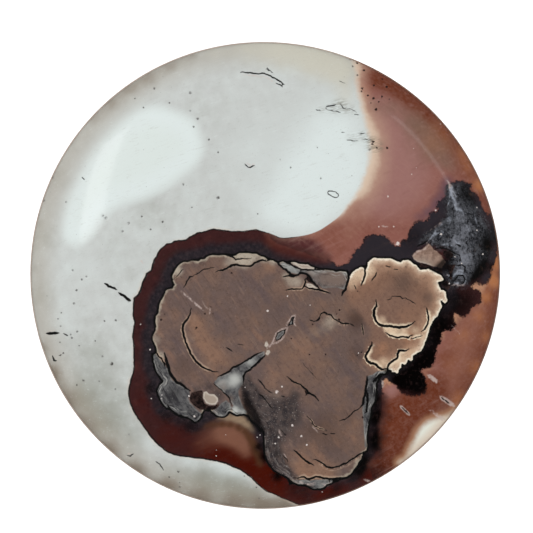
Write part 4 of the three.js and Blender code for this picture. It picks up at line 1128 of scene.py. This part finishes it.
# The chips between the beans
grey_in = field("grey")
grey = over(rise(shifted(fine, growth, 0.5), 0.3, 0.7), paint(62, 61, 64), paint(104, 103, 103))
grey = over(patch("grey_warm", fine, 0.5, 0.1, 0.8), grey, paint(122, 106, 98))
grey = over(patch("grey_pale", middling, 0.4, 0.1, 1.0), grey, paint(186, 187, 182))
grey_dark = rise(shifted(shifted(field("grey_pale"), fine, -0.6), growth, 0.5), 0.0, -0.9)
grey = over(grey_dark, grey, paint(40, 38, 40))
grey_rim = both(rise(shifted(grey_in, dust, 0.1), 0.16, 0.05, 0.6), rise(middling, 0.4, 0.6))
grey = over(grey_rim, grey, paint(146, 144, 140))
beans_edge = rise(beans, 0.6, 0.2)
grey = over(both(rise(layered, 0.52, 0.66, 0.7), beans_edge), grey, paint(186, 184, 178))
grey = over(both(rise(layered, 0.46, 0.36, 0.8), beans_edge), grey, paint(26, 24, 25))
grey = over(rise(dust, 0.6, 0.76, 0.5), grey, paint(164, 162, 160))
in_grey = rise(shifted(grey_in, fine, 0.12), -0.05, 0.06)
colour = over(both(in_grey, in_beans), colour, grey)
cream = over(patch("cream", fine, 0.15, 0.04, 0.16), paint(198, 187, 174), paint(166, 151, 138))
brown_chip = over(rise(fine, 0.3, 0.7), paint(128, 104, 92), paint(162, 136, 121))
cream = over(rise(field("mass"), -1.8, -0.6), cream, brown_chip)
cream = over(rise(dust, 0.4, 0.25, 0.5), cream, paint(80, 68, 62))
colour = over(patch("cream", fine, 0.2, -0.04, 0.06), colour, cream)
dark = over(rise(fine, 0.35, 0.7), paint(26, 21, 21), paint(62, 48, 45))
colour = over(patch("dark", fine, 0.12, -0.03, 0.05), colour, dark)
colour = over(patch("soot", fine, 0.5, 0.05, 0.9, 0.9), colour, paint(20, 18, 19))

# Pale strokes, then the hairlines and the specks
# Pale strokes; those in the dark mass are painted reflection, the sheen fanning down from the glint.
stroke = shifted(field("stroke_and_sheen"), dust, 0.14)
stroke_colour = over(rise(field("mass"), 0.0, 0.3), paint(206, 186, 178), paint(166, 172, 184))
colour = over(both(rise(stroke, 0.06, -0.06, 0.75), rise(fine, 0.2, 0.55)), colour, stroke_colour)
hair = shifted(field("hairline"), middling, 0.07)
black_line = rise(shifted(shifted(hair, fine, 0.07), dust, 0.05), 0.025, -0.025)
colour = over(black_line, colour, paint(10, 8, 8))
quartz = rise(shifted(shifted(field("quartz"), fine, 2.2), dust, 1.6), 0.7, 0.4, 0.85)
colour = over(quartz, colour, paint(228, 218, 212))
pin = rise(shifted(shifted(field("pinhole"), fine, 2.0), dust, 1.4), 1.0, 0.5)
off_cap = rise(cap, 0.2, -0.4)
pin_colour = over(off_cap, paint(52, 46, 42), paint(44, 18, 10))
pin_depth = work("MAXIMUM", rise(fine, 0.2, 0.6, 0.95), off_cap)
colour = over(both(pin, pin_depth), colour, pin_colour)

# The wall under the dome is only ground, not polished, and paler than the face: partly the frosted ground
# finish, partly a painted reflection of the bright table along the outermost rim
wall = rise(field("on_face"), 0.9, 0.1)
wall_tone_and_reflection = over(rise(cap, -0.5, 0.5), paint(168, 118, 92), paint(212, 186, 168))
wall_tone_and_reflection = over(rise(middling, 0.35, 0.75, 0.35), wall_tone_and_reflection, paint(176, 140, 120))
colour = over(both(wall, rise(field("reach"), 17.3, 17.4, 0.65)), colour, wall_tone_and_reflection)
plug(shader.inputs["Base Color"], colour)
roughness = work("MULTIPLY_ADD", work("MAXIMUM", black_line, pin), 0.35, rise(fine, 0.2, 0.9, 0.05))
roughness = work("MAXIMUM", work("ADD", roughness, 0.07), work("MULTIPLY", wall, 0.55))
plug(shader.inputs["Roughness"], roughness)
shader.inputs["IOR"].default_value = 1.54
bump = nodes.new("ShaderNodeBump")
bump.inputs["Strength"].default_value = 0.05
bump.inputs["Distance"].default_value = 0.02 * MM
plug(bump.inputs["Height"], fine)
plug(shader.inputs["Normal"], bump.outputs["Normal"])

# The tree that grinds the dome on the flat sheet and sinks the hairlines and the pinholes in it
grind = bpy.data.node_groups.new("ground_and_polished", "GeometryNodeTree")
sockets = grind.interface
sockets.new_socket("Sheet", in_out="INPUT", socket_type="NodeSocketGeometry")
inputs = {"Dome Height": dome_height * MM, "Dome Reach": dome_reach,
          "Dome Flatness": dome_flatness, "Hairline Depth": 0.03 * MM, "Pinhole Depth": 0.05 * MM}
for name in inputs:
    sockets.new_socket(name, in_out="INPUT", socket_type="NodeSocketFloat")
sockets.new_socket("Stone", in_out="INPUT", socket_type="NodeSocketMaterial")
sockets.new_socket("Stone", in_out="OUTPUT", socket_type="NodeSocketGeometry")
g_nodes, g_links = grind.nodes, grind.links
given = g_nodes.new("NodeGroupInput").outputs
result = g_nodes.new("NodeGroupOutput")


def g_math(operation, a, b=0.0, c=0.0):
    made = g_nodes.new("ShaderNodeMath")
    made.operation = operation
    for socket, value in zip(made.inputs, (a, b, c)):
        if isinstance(value, bpy.types.NodeSocket):
            g_links.new(value, socket)
        else:
            socket.default_value = value
    return made.outputs[0]


def g_field(name):
    made = g_nodes.new("GeometryNodeInputNamedAttribute")
    made.data_type = "FLOAT"
    made.inputs["Name"].default_value = name
    return made.outputs["Attribute"]


def g_rise(value, start, end):
    made = g_nodes.new("ShaderNodeMapRange")
    made.interpolation_type = "SMOOTHSTEP"
    g_links.new(value, made.inputs["Value"])
    made.inputs["From Min"].default_value = start
    made.inputs["From Max"].default_value = end
    return made.outputs["Result"]


share = g_math("POWER", g_math("DIVIDE", g_field("reach"), given["Dome Reach"]), given["Dome Flatness"])
crown = g_math("SQRT", g_math("MAXIMUM", g_math("SUBTRACT", 1.0, share), 0.0))
sunk = g_math("MULTIPLY", g_rise(g_field("hairline"), 0.05, -0.05), given["Hairline Depth"])
sunk = g_math("MULTIPLY_ADD", g_rise(g_field("pinhole"), 1.2, 0.3), given["Pinhole Depth"], sunk)
lift = g_math("SUBTRACT", g_math("MULTIPLY", crown, given["Dome Height"]), sunk)
lift = g_math("MULTIPLY", lift, g_field("on_face"))
upward = g_nodes.new("ShaderNodeCombineXYZ")
g_links.new(lift, upward.inputs["Z"])
shape = g_nodes.new("GeometryNodeSetPosition")
g_links.new(given["Sheet"], shape.inputs["Geometry"])
g_links.new(upward.outputs[0], shape.inputs["Offset"])
real = g_nodes.new("GeometryNodeRealizeInstances")
g_links.new(shape.outputs[0], real.inputs[0])
finish = g_nodes.new("GeometryNodeSetMaterial")
g_links.new(real.outputs[0], finish.inputs["Geometry"])
g_links.new(given["Stone"], finish.inputs["Material"])
g_links.new(finish.outputs[0], result.inputs[0])
ground = sheet_object.modifiers.new("ground", "NODES")
ground.node_group = grind
for item in sockets.items_tree:
    if item.in_out == "INPUT" and item.name in inputs:
        ground[item.identifier] = inputs[item.name]
    elif item.in_out == "INPUT" and item.socket_type == "NodeSocketMaterial":
        ground[item.identifier] = jasper
sheet_object.update_tag()
evaluated = sheet_object.evaluated_get(bpy.context.evaluated_depsgraph_get())
stone_mesh = bpy.data.meshes.new_from_object(evaluated)
sheet_object.modifiers.clear()
bpy.data.objects.remove(sheet_object)
stone = bpy.data.objects.new("stone", stone_mesh)
bpy.context.scene.collection.objects.link(stone)
stone_mesh.shade_smooth()
stone_mesh.set_sharp_from_angle(angle=math.radians(35))
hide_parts("cabochon")
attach(stone, "root")

# The studio: a plain white table, a dim room with a bright horizon, and two strip lights above it
# The table's top lies a hair under the stone, so that the flat back and the table don't share a plane.
floor_mesh = bpy.data.meshes.new("table")
half = 1.5
table_top = -0.05 * MM
corners = [(x, y, table_top) for x, y in ((-half, -half), (half, -half), (half, half), (-half, half))]
floor_mesh.from_pydata(corners, [], [(0, 1, 2, 3)])
floor = bpy.data.objects.new("table", floor_mesh)
bpy.context.scene.collection.objects.link(floor)
table = bpy.data.materials.new("white_table")
table.use_nodes = True
table_shader = table.node_tree.nodes["Principled BSDF"]
table_shader.inputs["Roughness"].default_value = 0.9
table_shader.inputs["Emission Color"].default_value = (1, 1, 1, 1)
rays = table.node_tree.nodes.new("ShaderNodeLightPath")
table.node_tree.links.new(rays.outputs["Is Camera Ray"], table_shader.inputs["Emission Strength"])
seen = table.node_tree.nodes.new("ShaderNodeMix")
seen.data_type = "RGBA"
seen.inputs[6].default_value = (0.4, 0.4, 0.4, 1)
seen.inputs[7].default_value = (0.08, 0.08, 0.08, 1)
table.node_tree.links.new(rays.outputs["Is Glossy Ray"], seen.inputs["Factor"])
table.node_tree.links.new(seen.outputs[2], table_shader.inputs["Base Color"])
floor_mesh.materials.append(table)

room = bpy.data.worlds.new("room")
bpy.context.scene.world = room
room.use_nodes = True
room_nodes, room_links = room.node_tree.nodes, room.node_tree.links
toward = room_nodes.new("ShaderNodeTexCoord")
split = room_nodes.new("ShaderNodeSeparateXYZ")
glow = room_nodes.new("ShaderNodeMapRange")
glow.interpolation_type = "SMOOTHSTEP"
glow.inputs["From Min"].default_value = 0.95
glow.inputs["From Max"].default_value = 0.50
glow.inputs["To Min"].default_value = 0.5
glow.inputs["To Max"].default_value = 1.6
room_nodes["Background"].inputs["Color"].default_value = (1, 1, 1, 1)
room_links.new(toward.outputs["Generated"], split.inputs[0])
room_links.new(split.outputs["Z"], glow.inputs["Value"])
lit_side = room_nodes.new("ShaderNodeVectorMath")
lit_side.operation = "DOT_PRODUCT"
lit_side.inputs[1].default_value = (math.cos(math.radians(150)), math.sin(math.radians(150)), 0)
room_links.new(toward.outputs["Generated"], lit_side.inputs[0])
fall = room_nodes.new("ShaderNodeMapRange")
fall.interpolation_type = "SMOOTHSTEP"
fall.inputs["From Min"].default_value = -0.5
fall.inputs["From Max"].default_value = 0.6
fall.inputs["To Min"].default_value = 0.75
fall.inputs["To Max"].default_value = 1.0
room_links.new(lit_side.outputs["Value"], fall.inputs["Value"])
strength = room_nodes.new("ShaderNodeMath")
strength.operation = "MULTIPLY"
room_links.new(glow.outputs["Result"], strength.inputs[0])
room_links.new(fall.outputs["Result"], strength.inputs[1])
shine = room_nodes.new("ShaderNodeLightPath")
dim = room_nodes.new("ShaderNodeMapRange")
dim.inputs["To Min"].default_value = 1.0
dim.inputs["To Max"].default_value = 0.05
room_links.new(shine.outputs["Is Glossy Ray"], dim.inputs["Value"])
quiet = room_nodes.new("ShaderNodeMath")
quiet.operation = "MULTIPLY"
room_links.new(strength.outputs[0], quiet.inputs[0])
room_links.new(dim.outputs["Result"], quiet.inputs[1])
room_links.new(quiet.outputs[0], room_nodes["Background"].inputs["Strength"])


lamp_distance = 0.6


def strip_light(name, ends, width, power):
    """A lit strip between two directions, each an azimuth and an angle from the zenith."""
    first, last = (Vector((math.sin(math.radians(down)) * math.cos(math.radians(away)),
                           math.sin(math.radians(down)) * math.sin(math.radians(away)),
                           math.cos(math.radians(down)))) * lamp_distance for away, down in ends)
    lamp = bpy.data.lights.new(name, "AREA")
    lamp.shape = "RECTANGLE"
    lamp.size, lamp.size_y = (last - first).length, width
    lamp.energy = power
    body = bpy.data.objects.new(name, lamp)
    body.location = (first + last) / 2
    along_it = (last - first).normalized()
    outward = (body.location - along_it * along_it.dot(body.location)).normalized()
    turned = Matrix((along_it, outward.cross(along_it), outward)).transposed()
    body.rotation_euler = turned.to_euler()
    bpy.context.scene.collection.objects.link(body)


strip_light("left_strip", [(137, 45), (168, 30)], 0.09, 0.12)
strip_light("right_strip", [(52, 46), (22, 46)], 0.03, 0.022)

eye = bpy.data.cameras.new("eye")
eye.lens = 630
eye.clip_end = 10
eye_object = bpy.data.objects.new("eye", eye)
eye_object.location = (0.0001, 0.00067, 0.7015)
bpy.context.scene.collection.objects.link(eye_object)
bpy.context.scene.camera = eye_object
bpy.context.scene.view_settings.view_transform = "Standard"
